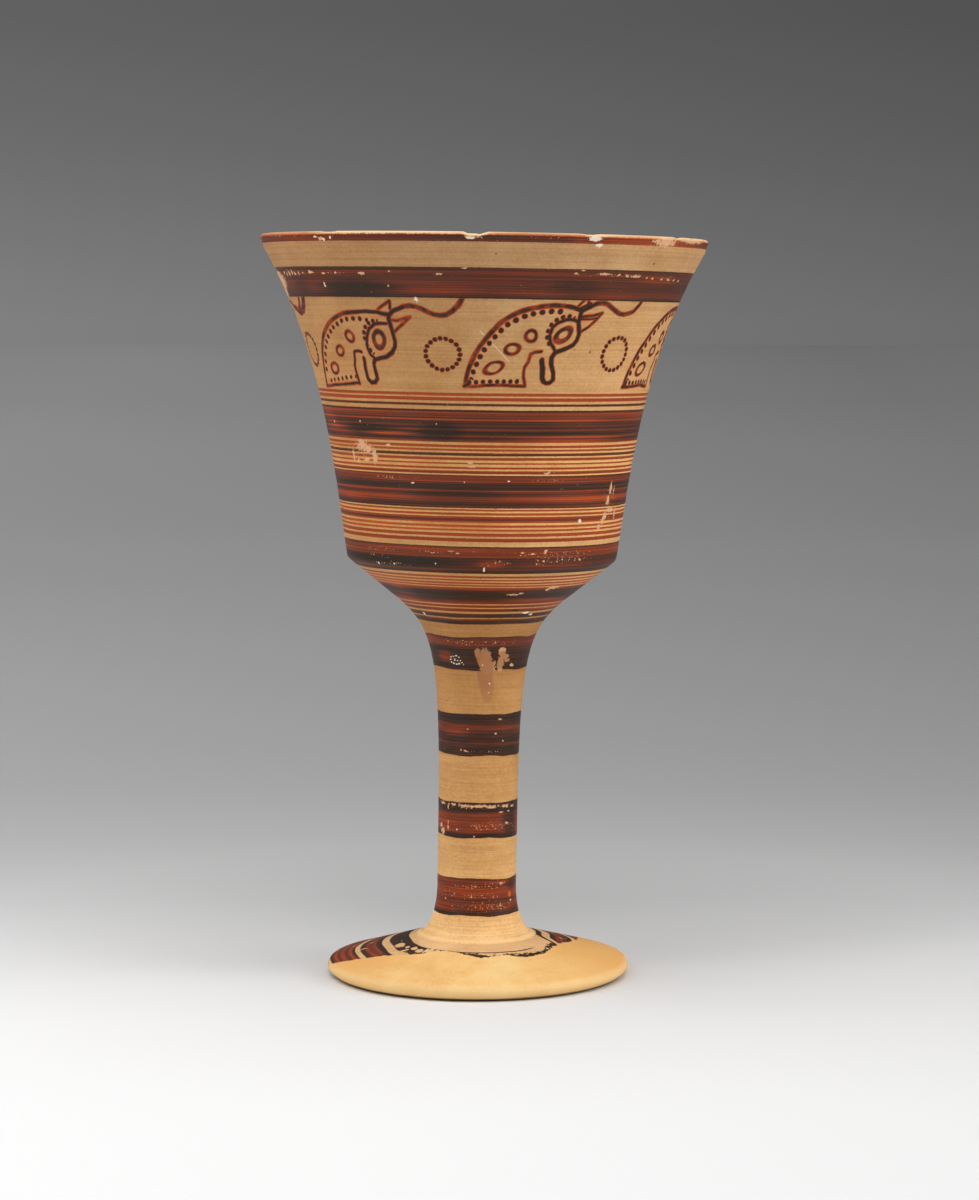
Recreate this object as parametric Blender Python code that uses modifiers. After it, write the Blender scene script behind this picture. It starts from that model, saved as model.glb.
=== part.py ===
"""Terracotta chalice: a flaring bowl on a tall solid stem with a disc foot, turned as one piece.

Metres, +Z up. The origin is on the ground, under the middle of the lip.
"""

import math

import bpy

# Overall
TOTAL_HEIGHT = 0.240
TURN_STEPS = 56          # flat faces round the vessel
WELD = 0.00005           # points closer than this become one, on the axis
SHARP_ANGLE = math.radians(35)
CLAY_COLOUR = (0.56, 0.32, 0.13, 1.0)
CLAY_ROUGHNESS = 0.6

# Lip
LIP_RADIUS = 0.0724
LIP_WALL = 0.0024
LIP_FACE = 0.0044        # the outer face under the lip, steeper than the wall below it
LIP_FACE_INSET = 0.0014  # how far that face draws in towards its foot
LIP_ROUND = 0.0008
LIP_STEPS = 2            # straight pieces in each of its rounded edges

# Bowl wall, from the lip down to the shoulder
BOWL_HEIGHT = 0.1035
SHOULDER_RADIUS = 0.0438
SHOULDER_ROUND = 0.0024
SHOULDER_WALL = 0.0036
WALL_SLOPE = 0.142       # gain in radius for each unit of height, just above the shoulder
FLARE_POWER = 3.2        # how late the wall turns outwards on its way up
SHOULDER_STEPS = 3
OUTER_WALL_STEPS = 12
INNER_WALL_STEPS = 9

# Cone under the shoulder and the bowl's floor
CONE_SLOPE = 0.80        # drop for each unit of radius
CONE_WALL = 0.0042
KNEE_RADIUS = 0.0284     # where the cone begins to bend into the stem
FLOOR_DROP = 0.0145      # the bowl's floor, below the shoulder
FLOOR_ROUND = 0.024
INNER_SHOULDER_ROUND = 0.008
FLOOR_STEPS = 4

# Stem
STEM_RADIUS = 0.01295
WAIST_HEIGHT = 0.0402    # the stem is straight from here down to the flare
FLARE_HEIGHT = 0.0306
KNEE_PULL = 0.895        # how far the cone runs on towards the stem before it bends, as a share
WAIST_PULL = 0.78        # how far up the stem its straight line reaches into that bend
STEM_STEPS = 12
FLARE_LEAVE = 0.53       # the same for the flare at the stem's foot: down from its top,
FLARE_ARRIVE = 0.66      # in from the ridge,
FLARE_LIFT = 0.054       # and up from it
FLARE_STEPS = 6

# Foot
RIDGE_RADIUS = 0.0192    # a fine raised line where the stem meets the foot
RIDGE_HEIGHT = 0.0134
RIDGE_STEP = 0.0005
COLLAR_RADIUS = 0.0216
COLLAR_HEIGHT = 0.0127
FOOT_RADIUS = 0.0494
FOOT_EDGE = 0.0050       # height of the foot's top where it reaches the edge
EDGE_ROUND = 0.0018
EDGE_STEPS = (3, 2)      # straight pieces in its upper and its lower rounding
EDGE_TUCK = 0.0030       # how far the resting ring lies inside the edge
RING_WIDTH = 0.0060
RECESS_HEIGHT = 0.0024   # the underside's shallow hollow, and the dimple in its middle
DIMPLE_RADIUS = 0.0110
DIMPLE_HEIGHT = 0.0040
RECESS_STEPS = 4

# The vessel is a little out of true: it leans to the right, its bowl hangs down on that side,
# and its foot isn't quite centred under its stem
STEM_LEAN = math.radians(0.90)
BOWL_LEAN = math.radians(0.50)
BOWL_TILT = math.radians(0.85)
LEAN_BLEND = 0.018       # height over which one tilt turns into the next
FOOT_SHIFT = 0.0006

SHOULDER_HEIGHT = TOTAL_HEIGHT - BOWL_HEIGHT
WALL_TOP = TOTAL_HEIGHT - LIP_FACE
FILLET_SHARE = 0.48      # the most of a straight run that a rounding may take up


def wall_radius(height):
    """Outer radius of the bowl's wall at a height between the shoulder and the lip's face."""
    share = (height - SHOULDER_HEIGHT) / (WALL_TOP - SHOULDER_HEIGHT)
    slope = WALL_SLOPE * (height - SHOULDER_HEIGHT)
    whole_slope = WALL_SLOPE * (WALL_TOP - SHOULDER_HEIGHT)
    flare = LIP_RADIUS - LIP_FACE_INSET - SHOULDER_RADIUS - whole_slope
    return SHOULDER_RADIUS + slope + flare * max(share, 0.0) ** FLARE_POWER


def wall_thickness(height):
    """The wall thins evenly from the shoulder to the lip."""
    share = (height - SHOULDER_HEIGHT) / BOWL_HEIGHT
    return SHOULDER_WALL + (LIP_WALL - SHOULDER_WALL) * share


def cone_height(radius):
    """Outer height of the cone under the shoulder."""
    return SHOULDER_HEIGHT - CONE_SLOPE * (SHOULDER_RADIUS - radius)


def bezier(start, pull, draw, end, steps):
    """Points along a cubic curve, without its start."""
    points = []
    for i in range(1, steps + 1):
        t = i / steps
        u = 1.0 - t
        weights = (u * u * u, 3 * u * u * t, 3 * u * t * t, t * t * t)
        corners = (start, pull, draw, end)
        points.append(tuple(sum(w * c[axis] for w, c in zip(weights, corners)) for axis in (0, 1)))
    return points


def fillet(before, corner, after, radius, steps):
    """Points of an arc that rounds a corner between two straight runs."""
    to_before = (before[0] - corner[0], before[1] - corner[1])
    to_after = (after[0] - corner[0], after[1] - corner[1])
    run_in, run_out = math.hypot(*to_before), math.hypot(*to_after)
    a = (to_before[0] / run_in, to_before[1] / run_in)
    b = (to_after[0] / run_out, to_after[1] / run_out)
    half = math.acos(max(-1.0, min(1.0, a[0] * b[0] + a[1] * b[1]))) / 2
    reach = min(radius / math.tan(half), FILLET_SHARE * run_in, FILLET_SHARE * run_out)
    radius = reach * math.tan(half)
    middle = (a[0] + b[0], a[1] + b[1])
    length = math.hypot(*middle)
    away = radius / math.sin(half) / length
    centre = (corner[0] + middle[0] * away, corner[1] + middle[1] * away)
    first = (corner[0] + a[0] * reach, corner[1] + a[1] * reach)
    last = (corner[0] + b[0] * reach, corner[1] + b[1] * reach)
    start = math.atan2(first[1] - centre[1], first[0] - centre[0])
    turn = math.atan2(last[1] - centre[1], last[0] - centre[0]) - start
    turn = (turn + math.pi) % (2 * math.pi) - math.pi
    angles = (start + turn * i / steps for i in range(steps + 1))
    return [(centre[0] + radius * math.cos(t), centre[1] + radius * math.sin(t)) for t in angles]


def inside_profile():
    """The bowl's inside, from the middle of its floor up to the lip."""
    floor = SHOULDER_HEIGHT - FLOOR_DROP
    lift = CONE_WALL * math.hypot(1.0, CONE_SLOPE)
    corner_radius = SHOULDER_RADIUS - SHOULDER_WALL
    corner = (corner_radius, cone_height(corner_radius) + lift)
    floor_corner = (corner_radius - (corner[1] - floor) / CONE_SLOPE, floor)
    points = [(0.0, floor)]
    points += fillet((0.0, floor), floor_corner, corner, FLOOR_ROUND, FLOOR_STEPS)

    def wall_point(height):
        return (wall_radius(height) - wall_thickness(height), height)

    above = wall_point(corner[1] + 2 * INNER_SHOULDER_ROUND)
    points += fillet(floor_corner, corner, above, INNER_SHOULDER_ROUND, FLOOR_STEPS)
    start = points[-1][1]
    rise = (WALL_TOP - start) / INNER_WALL_STEPS
    points += [wall_point(start + rise * i) for i in range(1, INNER_WALL_STEPS + 1)]
    return points


def lip_profile():
    """Over the lip, from its inner edge to the foot of its outer face."""
    below_inside = (LIP_RADIUS - LIP_FACE_INSET - wall_thickness(WALL_TOP), WALL_TOP)
    inner = (LIP_RADIUS - LIP_WALL, TOTAL_HEIGHT)
    outer = (LIP_RADIUS, TOTAL_HEIGHT)
    foot = (LIP_RADIUS - LIP_FACE_INSET, WALL_TOP)
    points = fillet(below_inside, inner, outer, LIP_ROUND, LIP_STEPS)
    points += fillet(inner, outer, foot, LIP_ROUND, LIP_STEPS)
    return points


def outside_profile():
    """The outer side, from under the lip's face down to the stem's foot."""
    corner = (SHOULDER_RADIUS, SHOULDER_HEIGHT)
    above_height = SHOULDER_HEIGHT + 2 * SHOULDER_ROUND
    above = (wall_radius(above_height), above_height)
    knee = (KNEE_RADIUS, cone_height(KNEE_RADIUS))
    rounded = fillet(above, corner, knee, SHOULDER_ROUND, SHOULDER_STEPS)
    drop = (rounded[0][1] - WALL_TOP) / OUTER_WALL_STEPS
    heights = [WALL_TOP + drop * i for i in range(OUTER_WALL_STEPS)]
    points = [(wall_radius(height), height) for height in heights]
    points += rounded
    points.append(knee)

    reach = KNEE_PULL * (KNEE_RADIUS - STEM_RADIUS)
    pull = (KNEE_RADIUS - reach, cone_height(KNEE_RADIUS - reach))
    waist = (STEM_RADIUS, WAIST_HEIGHT)
    draw = (STEM_RADIUS, WAIST_HEIGHT + WAIST_PULL * (knee[1] - WAIST_HEIGHT))
    points += bezier(knee, pull, draw, waist, STEM_STEPS)

    drop = FLARE_HEIGHT - RIDGE_HEIGHT
    flare = (STEM_RADIUS, FLARE_HEIGHT)
    spread = RIDGE_RADIUS - STEM_RADIUS
    leave = (STEM_RADIUS, FLARE_HEIGHT - FLARE_LEAVE * drop)
    arrive = (RIDGE_RADIUS - FLARE_ARRIVE * spread, RIDGE_HEIGHT + FLARE_LIFT * drop)
    points.append(flare)
    points += bezier(flare, leave, arrive, (RIDGE_RADIUS, RIDGE_HEIGHT), FLARE_STEPS)
    return points


def foot_profile():
    """The collar, the foot's top, its edge and its underside, in to the middle."""
    collar_inner = (RIDGE_RADIUS + RIDGE_STEP, RIDGE_HEIGHT - RIDGE_STEP)
    collar = (COLLAR_RADIUS, COLLAR_HEIGHT - RIDGE_STEP / 2)
    edge_top = (FOOT_RADIUS - EDGE_ROUND / 2, FOOT_EDGE)
    edge_side = (FOOT_RADIUS + EDGE_ROUND / 4, FOOT_EDGE / 2)
    ring_outer = (FOOT_RADIUS - EDGE_TUCK, 0.0)
    ring_inner = (ring_outer[0] - RING_WIDTH, 0.0)
    recess = (DIMPLE_RADIUS, RECESS_HEIGHT)
    points = [collar_inner, collar]
    points += fillet(collar, edge_top, edge_side, EDGE_ROUND, EDGE_STEPS[0])
    points += fillet(edge_top, edge_side, ring_outer, EDGE_ROUND, EDGE_STEPS[1])
    points += [ring_outer, ring_inner]
    points += bezier(ring_inner, (ring_inner[0] - RING_WIDTH / 2, RECESS_HEIGHT / 2),
                     (ring_inner[0] - 2 * RING_WIDTH, RECESS_HEIGHT), recess, RECESS_STEPS)
    points.append((0.0, DIMPLE_HEIGHT))
    return points


def smooth_step(low, high, value):
    share = max(0.0, min(1.0, (value - low) / (high - low)))
    return share * share * (3 - 2 * share)


def leaning(point):
    """Where a point of the true turned shape lies once the vessel leans to the right."""
    x, y, z = point
    stem_rise = min(max(z, RIDGE_HEIGHT), SHOULDER_HEIGHT) - SHOULDER_HEIGHT
    bowl_rise = max(z, SHOULDER_HEIGHT) - TOTAL_HEIGHT
    shift = math.tan(STEM_LEAN) * stem_rise + math.tan(BOWL_LEAN) * bowl_rise
    shift += FOOT_SHIFT * (1.0 - smooth_step(FOOT_EDGE, COLLAR_HEIGHT, z))
    in_stem = smooth_step(RIDGE_HEIGHT, RIDGE_HEIGHT + LEAN_BLEND, z)
    in_bowl = smooth_step(SHOULDER_HEIGHT - LEAN_BLEND, SHOULDER_HEIGHT, z)
    tilt = STEM_LEAN * in_stem + (BOWL_TILT - STEM_LEAN) * in_bowl
    return (x * math.cos(tilt) + shift, y, z - x * math.sin(tilt))


def terracotta():
    material = bpy.data.materials.new("terracotta")
    material.use_nodes = True
    shader = material.node_tree.nodes["Principled BSDF"]
    shader.inputs["Base Color"].default_value = CLAY_COLOUR
    shader.inputs["Roughness"].default_value = CLAY_ROUGHNESS
    return material


def turned(name, profile, collection):
    """A profile in the XZ plane, turned about Z, as a plain mesh object."""
    line = bpy.data.meshes.new(name + "_profile")
    edges = [(i, i + 1) for i in range(len(profile) - 1)]
    line.from_pydata([(radius, 0.0, height) for radius, height in profile], edges, [])
    blank = bpy.data.objects.new(name + "_blank", line)
    collection.objects.link(blank)
    screw = blank.modifiers.new("Turn", "SCREW")
    screw.steps = screw.render_steps = TURN_STEPS
    screw.use_merge_vertices = True
    screw.merge_threshold = WELD
    graph = bpy.context.evaluated_depsgraph_get()
    mesh = bpy.data.meshes.new_from_object(blank.evaluated_get(graph), depsgraph=graph)
    bpy.data.objects.remove(blank, do_unlink=True)
    mesh.name = name
    made = bpy.data.objects.new(name, mesh)
    collection.objects.link(made)
    return made


def build():
    for item in list(bpy.data.objects):
        bpy.data.objects.remove(item, do_unlink=True)
    collection = bpy.data.collections.new("terracotta_chalice")
    bpy.context.scene.collection.children.link(collection)
    profile = inside_profile() + lip_profile() + outside_profile() + foot_profile()
    chalice = turned("chalice", profile, collection)
    for vertex in chalice.data.vertices:
        vertex.co = leaning(vertex.co)
    chalice.data.materials.clear()
    chalice.data.materials.append(terracotta())
    chalice.data.shade_smooth()
    chalice.data.set_sharp_from_angle(angle=SHARP_ANGLE)
    chalice.data.update()


build()
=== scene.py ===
import math

import bpy
import numpy as np
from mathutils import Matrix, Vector


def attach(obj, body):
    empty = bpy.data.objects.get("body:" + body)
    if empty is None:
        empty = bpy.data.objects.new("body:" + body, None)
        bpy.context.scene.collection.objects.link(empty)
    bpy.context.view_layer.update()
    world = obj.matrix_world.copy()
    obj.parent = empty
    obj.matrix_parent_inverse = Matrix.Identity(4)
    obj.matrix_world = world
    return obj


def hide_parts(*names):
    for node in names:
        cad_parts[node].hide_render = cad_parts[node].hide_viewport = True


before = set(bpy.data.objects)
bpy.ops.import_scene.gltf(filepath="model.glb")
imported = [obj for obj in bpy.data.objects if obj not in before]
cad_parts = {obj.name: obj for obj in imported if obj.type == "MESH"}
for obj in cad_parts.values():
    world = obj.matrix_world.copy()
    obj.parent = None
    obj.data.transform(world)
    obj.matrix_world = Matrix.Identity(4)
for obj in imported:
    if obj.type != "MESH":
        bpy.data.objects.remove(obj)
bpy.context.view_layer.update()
print("frame loaded")


# sRGB hex to linear, for every colour in this file
def linear(hexColour):
    parts = [int(hexColour[i:i + 2], 16) / 255 for i in (1, 3, 5)]
    return [p / 12.92 if p <= 0.04045 else ((p + 0.055) / 1.055) ** 2.4 for p in parts] + [1.0]


# settings of nodes: colours laid over one another, multiplied or added, and a soft step
colourMix = {"data_type": "RGBA"}
colourTimes = {"data_type": "RGBA", "blend_type": "MULTIPLY"}
colourPlus = {"data_type": "RGBA", "blend_type": "ADD"}
softStep = {"interpolation_type": "SMOOTHSTEP"}


# adds a node and fills its inputs with links or plain values, in order or by key; "Math.ADD" is a Math node
# set to ADD
def addNode(tree, kind, inputs=(), out=0, settings=None, stops=None):
    kind, *operation = kind.split(".")
    node = tree.nodes.new("ShaderNode" + kind)
    if operation:
        node.operation = operation[0]
    for name, value in (settings or {}).items():
        setattr(node, name, value)
    for key, value in inputs.items() if isinstance(inputs, dict) else enumerate(inputs):
        if isinstance(value, bpy.types.NodeSocket):
            tree.links.new(value, node.inputs[key])
        else:
            node.inputs[key].default_value = value
    if stops:
        ramp = node.color_ramp
        while len(ramp.elements) < len(stops):
            ramp.elements.new(1.0)
        for element, (position, colour) in zip(ramp.elements, stops):
            element.position = position
            element.color = linear(colour) if isinstance(colour, str) else [*colour, 1.0][:4]
    return node.outputs[out]


# Camera
# stands 1.06 m off and a little below the lip, and looks down at the stem as the photograph does
cameraSet = {
    "place": (0.00162, -1.063, 0.2129),
    "horizon": 278, "focal": 3276,       # pixels: how far the horizon lies over the picture's middle, and
                                         # the focal length
    "lens": 98.28,
    "sensor": 36.0,
    "farthest": 100,
}


def makeCamera():
    data = bpy.data.cameras.new("camera")
    data.lens = cameraSet["lens"]
    data.sensor_width = cameraSet["sensor"]
    data.clip_end = cameraSet["farthest"]
    camera = bpy.data.objects.new("camera", data)
    camera.location = cameraSet["place"]
    lookDown = math.atan(cameraSet["horizon"] / cameraSet["focal"])
    camera.rotation_euler = (math.pi / 2 - lookDown, 0, 0)
    bpy.context.scene.collection.objects.link(camera)
    bpy.context.scene.camera = camera


makeCamera()
print("camera placed")


# The thrown form, in metres, the same sizes as the frame's solid
form = {
    "height": 0.240, "lipRadius": 0.0724, "lipWall": 0.0024, "lipFace": 0.0044, "lipFaceInset": 0.0014,
    "lipRound": 0.0008, "bowlHeight": 0.1035, "shoulderRadius": 0.0438, "shoulderRound": 0.0024,
    "shoulderWall": 0.0036, "wallSlope": 0.142, "flarePower": 3.2, "coneSlope": 0.80, "coneWall": 0.0042,
    "kneeRadius": 0.0284, "floorDrop": 0.0145, "floorRound": 0.024, "innerShoulderRound": 0.008,
    "stemRadius": 0.01295, "waistHeight": 0.0402, "flareHeight": 0.0306, "ridgeRadius": 0.0192,
    "ridgeHeight": 0.0134, "ridgeStep": 0.0005, "collarRadius": 0.0216, "collarHeight": 0.0127,
    "footRadius": 0.0494, "footEdge": 0.0050, "edgeRound": 0.0018, "edgeTuck": 0.0030, "ringWidth": 0.0060,
    "recessHeight": 0.0024, "dimpleRadius": 0.0110, "dimpleHeight": 0.0040,
    "stemLean": math.radians(0.90), "bowlLean": math.radians(0.50), "bowlTilt": math.radians(0.85),
    "leanBlend": 0.018, "footShift": 0.0006,
    "stemPull": 0.895, "stemDraw": 0.78, "flareLeave": 0.53, "flareArrive": (0.66, 0.054),
    "ringDepth": 0.00012,    # of the throwing rings, and how often and how far apart they come (times, mm)
    "ringWaves": [(1, 5.1), (0, 7.9), (2, 11.3), (1, 3.7)],
    "edgeDepth": 0.00022,    # of the foot edge's unevenness, how far in it reaches, and its waves
    "edgeReach": 0.002,
    "edgeWaves": [(7, 40), (13, 30), (23, 60), (31, 25)],
    "ringSeed": 3, "edgeSeed": 5,
    # the largest steps between rows: on the inside and underside, on the outside, on the foot and on the lip
    "wideGap": 0.0035, "gap": 0.0018, "footGap": 0.0016, "lipGap": 0.0004, "lipFaceGap": 0.0005,
    # steps along the curves, and the largest share of a straight run that a rounding takes up
    "roundSteps": 8, "lipSteps": 5, "insideSteps": 30, "wallSteps": 66, "stemSteps": 40, "flareSteps": 14,
    "edgeSteps": 6, "tuckSteps": 4, "recessSteps": 10, "cornerShare": 0.48,
    "columns": 360,          # round the vessel
    "inset": 0.00005,        # keeps the fine mesh inside the frame's box
    "ringMm": 40,            # radius of the circle that streaks are measured on
}
top = form["height"] - form["lipFace"]
shoulder = form["height"] - form["bowlHeight"]


def wallRadius(height):
    share = max((height - shoulder) / (top - shoulder), 0.0)
    spread = form["lipRadius"] - form["lipFaceInset"] - form["shoulderRadius"]
    flare = spread - form["wallSlope"] * (top - shoulder)
    straight = form["shoulderRadius"] + form["wallSlope"] * (height - shoulder)
    return straight + flare * share ** form["flarePower"]


def wallThickness(height):
    share = (height - shoulder) / form["bowlHeight"]
    return form["shoulderWall"] + (form["lipWall"] - form["shoulderWall"]) * share


def coneHeight(radius):
    return shoulder - form["coneSlope"] * (form["shoulderRadius"] - radius)


def bezier(start, pull, draw, end, steps):
    t = np.linspace(0, 1, steps + 1)[1:, None]
    u = 1 - t
    corners = [np.array(c) for c in (start, pull, draw, end)]
    curve = u ** 3 * corners[0] + 3 * u * u * t * corners[1]
    curve = curve + 3 * u * t * t * corners[2] + t ** 3 * corners[3]
    return [tuple(p) for p in curve]


def fillet(before, corner, after, radius, steps):
    before, corner, after = (np.array(p) for p in (before, corner, after))
    runIn, runOut = np.linalg.norm(before - corner), np.linalg.norm(after - corner)
    a, b = (before - corner) / runIn, (after - corner) / runOut
    half = math.acos(np.clip(a @ b, -1, 1)) / 2
    reach = min(radius / math.tan(half), form["cornerShare"] * runIn, form["cornerShare"] * runOut)
    radius = reach * math.tan(half)
    middle = (a + b) / np.linalg.norm(a + b)
    centre = corner + middle * radius / math.sin(half)
    first, last = corner + a * reach - centre, corner + b * reach - centre
    start = math.atan2(first[1], first[0])
    turn = (math.atan2(last[1], last[0]) - start + math.pi) % (2 * math.pi) - math.pi
    turns = [start + turn * i / steps for i in range(steps + 1)]
    return [tuple(centre + radius * np.array((math.cos(at), math.sin(at)))) for at in turns]


# fills the straight runs of a profile so that no two rows are further apart than gap
def filled(points, gap):
    rows = [points[0]]
    for end in points[1:]:
        start = np.array(rows[-1])
        count = max(1, math.ceil(math.dist(start, end) / gap))
        rows += [tuple(start + (np.array(end) - start) * i / count) for i in range(1, count + 1)]
    return rows


def insideRows():
    floor = shoulder - form["floorDrop"]
    lift = form["coneWall"] * math.hypot(1.0, form["coneSlope"])
    cornerRadius = form["shoulderRadius"] - form["shoulderWall"]
    corner = (cornerRadius, coneHeight(cornerRadius) + lift)
    floorCorner = (cornerRadius - (corner[1] - floor) / form["coneSlope"], floor)
    steps = form["roundSteps"]
    rows = [(0.0, floor)] + fillet((0.0, floor), floorCorner, corner, form["floorRound"], steps)
    rows = filled(rows, form["wideGap"])

    def wallPoint(height):
        return (wallRadius(height) - wallThickness(height), height)

    above = wallPoint(corner[1] + 2 * form["innerShoulderRound"])
    rows += fillet(floorCorner, corner, above, form["innerShoulderRound"], steps)
    return rows + [wallPoint(h) for h in np.linspace(rows[-1][1], top, form["insideSteps"])[1:]]


def lipRows():
    belowInside = (form["lipRadius"] - form["lipFaceInset"] - wallThickness(top), top)
    inner = (form["lipRadius"] - form["lipWall"], form["height"])
    outer = (form["lipRadius"], form["height"])
    foot = (form["lipRadius"] - form["lipFaceInset"], top)
    rows = fillet(belowInside, inner, outer, form["lipRound"], form["lipSteps"])
    rows += fillet(inner, outer, foot, form["lipRound"], form["lipSteps"])
    return filled(rows, form["lipGap"]) + filled([rows[-1], foot], form["lipFaceGap"])[1:-1]


def outsideRows():
    corner = (form["shoulderRadius"], shoulder)
    aboveHeight = shoulder + 2 * form["shoulderRound"]
    knee = (form["kneeRadius"], coneHeight(form["kneeRadius"]))
    above = (wallRadius(aboveHeight), aboveHeight)
    rounded = fillet(above, corner, knee, form["shoulderRound"], form["roundSteps"])
    rows = [(wallRadius(h), h) for h in np.linspace(top, rounded[0][1], form["wallSteps"])[:-1]]
    rows += filled(rounded + [knee], form["gap"])
    reach = form["stemPull"] * (form["kneeRadius"] - form["stemRadius"])
    pull = (form["kneeRadius"] - reach, coneHeight(form["kneeRadius"] - reach))
    waist = (form["stemRadius"], form["waistHeight"])
    draw = (form["stemRadius"], form["waistHeight"] + form["stemDraw"] * (knee[1] - form["waistHeight"]))
    rows += bezier(knee, pull, draw, waist, form["stemSteps"])
    drop = form["flareHeight"] - form["ridgeHeight"]
    flare = (form["stemRadius"], form["flareHeight"])
    spread = form["ridgeRadius"] - form["stemRadius"]
    leave = (form["stemRadius"], form["flareHeight"] - form["flareLeave"] * drop)
    inward, upward = form["flareArrive"]
    arrive = (form["ridgeRadius"] - inward * spread, form["ridgeHeight"] + upward * drop)
    rows += filled([rows[-1], flare], form["gap"])[1:]
    ridge = (form["ridgeRadius"], form["ridgeHeight"])
    return rows + bezier(flare, leave, arrive, ridge, form["flareSteps"])


def footRows():
    step = form["ridgeStep"]
    collarInner = (form["ridgeRadius"] + step, form["ridgeHeight"] - step)
    collar = (form["collarRadius"], form["collarHeight"] - step / 2)
    edgeTop = (form["footRadius"] - form["edgeRound"] / 2, form["footEdge"])
    edgeSide = (form["footRadius"] + form["edgeRound"] / 4, form["footEdge"] / 2)
    ringOuter = (form["footRadius"] - form["edgeTuck"], 0.0)
    edge = fillet(collar, edgeTop, edgeSide, form["edgeRound"], form["edgeSteps"])
    edge += fillet(edgeTop, edgeSide, ringOuter, form["edgeRound"], form["tuckSteps"])
    return filled([collarInner, collar] + edge[:1], form["footGap"]) + edge[1:] + [ringOuter]


def undersideRows():
    ringOuter = form["footRadius"] - form["edgeTuck"]
    ringInner = ringOuter - form["ringWidth"]
    high = form["recessHeight"]
    pull = (ringInner - form["ringWidth"] / 2, high / 2)
    draw = (ringInner - 2 * form["ringWidth"], high)
    curve = bezier((ringInner, 0.0), pull, draw, (form["dimpleRadius"], high), form["recessSteps"])
    return [(ringInner, 0.0)] + filled(curve + [(0.0, form["dimpleHeight"])], form["wideGap"])


def smoothStep(low, high, value):
    share = np.clip((value - low) / (high - low), 0, 1)
    return share * share * (3 - 2 * share)


# where points of the true turned shape lie once the vessel leans, as in the frame
def leaning(x, y, z):
    stemRise = np.clip(z, form["ridgeHeight"], shoulder) - shoulder
    bowlRise = np.maximum(z, shoulder) - form["height"]
    shift = math.tan(form["stemLean"]) * stemRise + math.tan(form["bowlLean"]) * bowlRise
    shift += form["footShift"] * (1 - smoothStep(form["footEdge"], form["collarHeight"], z))
    inStem = smoothStep(form["ridgeHeight"], form["ridgeHeight"] + form["leanBlend"], z)
    inBowl = smoothStep(shoulder - form["leanBlend"], shoulder, z)
    tilt = form["stemLean"] * inStem + (form["bowlTilt"] - form["stemLean"]) * inBowl
    return x * np.cos(tilt) + shift, y, z - x * np.sin(tilt)


# an even wobble round the vessel (angle in radians) and along its profile (length in mm)
def wobble(angle, along, waves, seed):
    rng = np.random.default_rng(seed)
    total = np.zeros(np.broadcast(angle, along).shape)
    for turns, length in waves:
        total += np.sin(turns * angle + 2 * np.pi * along / length + rng.uniform(0, 2 * np.pi))
    return total / len(waves)


# Chips along the lip: angle from the front in degrees, half width and depth in mm
lipChips = [
    {"at": -2.4, "half": 3.6, "deep": 0.60}, {"at": -0.6, "half": 1.3, "deep": 0.35},
    {"at": -42.0, "half": 4.0, "deep": 0.22}, {"at": 27.0, "half": 3.2, "deep": 0.25},
    {"at": 57.5, "half": 2.6, "deep": 0.35}, {"at": 66.0, "half": 1.5, "deep": 0.22},
    {"at": 78.0, "half": 1.8, "deep": 0.40}, {"at": 141.0, "half": 2.8, "deep": 0.45},
    {"at": -118.0, "half": 2.2, "deep": 0.35}, {"at": 193.0, "half": 1.8, "deep": 0.30},
]
# the share of a chip's half width that is at full depth, how many depths down it fades out, and the metres
# that it takes off the lip's top and outer face for each mm of depth
chipForm = {"flat": 0.45, "fadeDown": 4, "topCut": 0.001, "faceCut": 0.0004}


def chipShare(angle, chip):
    away = np.abs((angle - math.radians(chip["at"]) + math.pi) % (2 * math.pi) - math.pi)
    away = away * form["lipRadius"] * 1000 / chip["half"]
    return 1 - smoothStep(chipForm["flat"], 1.0, away)


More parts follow.
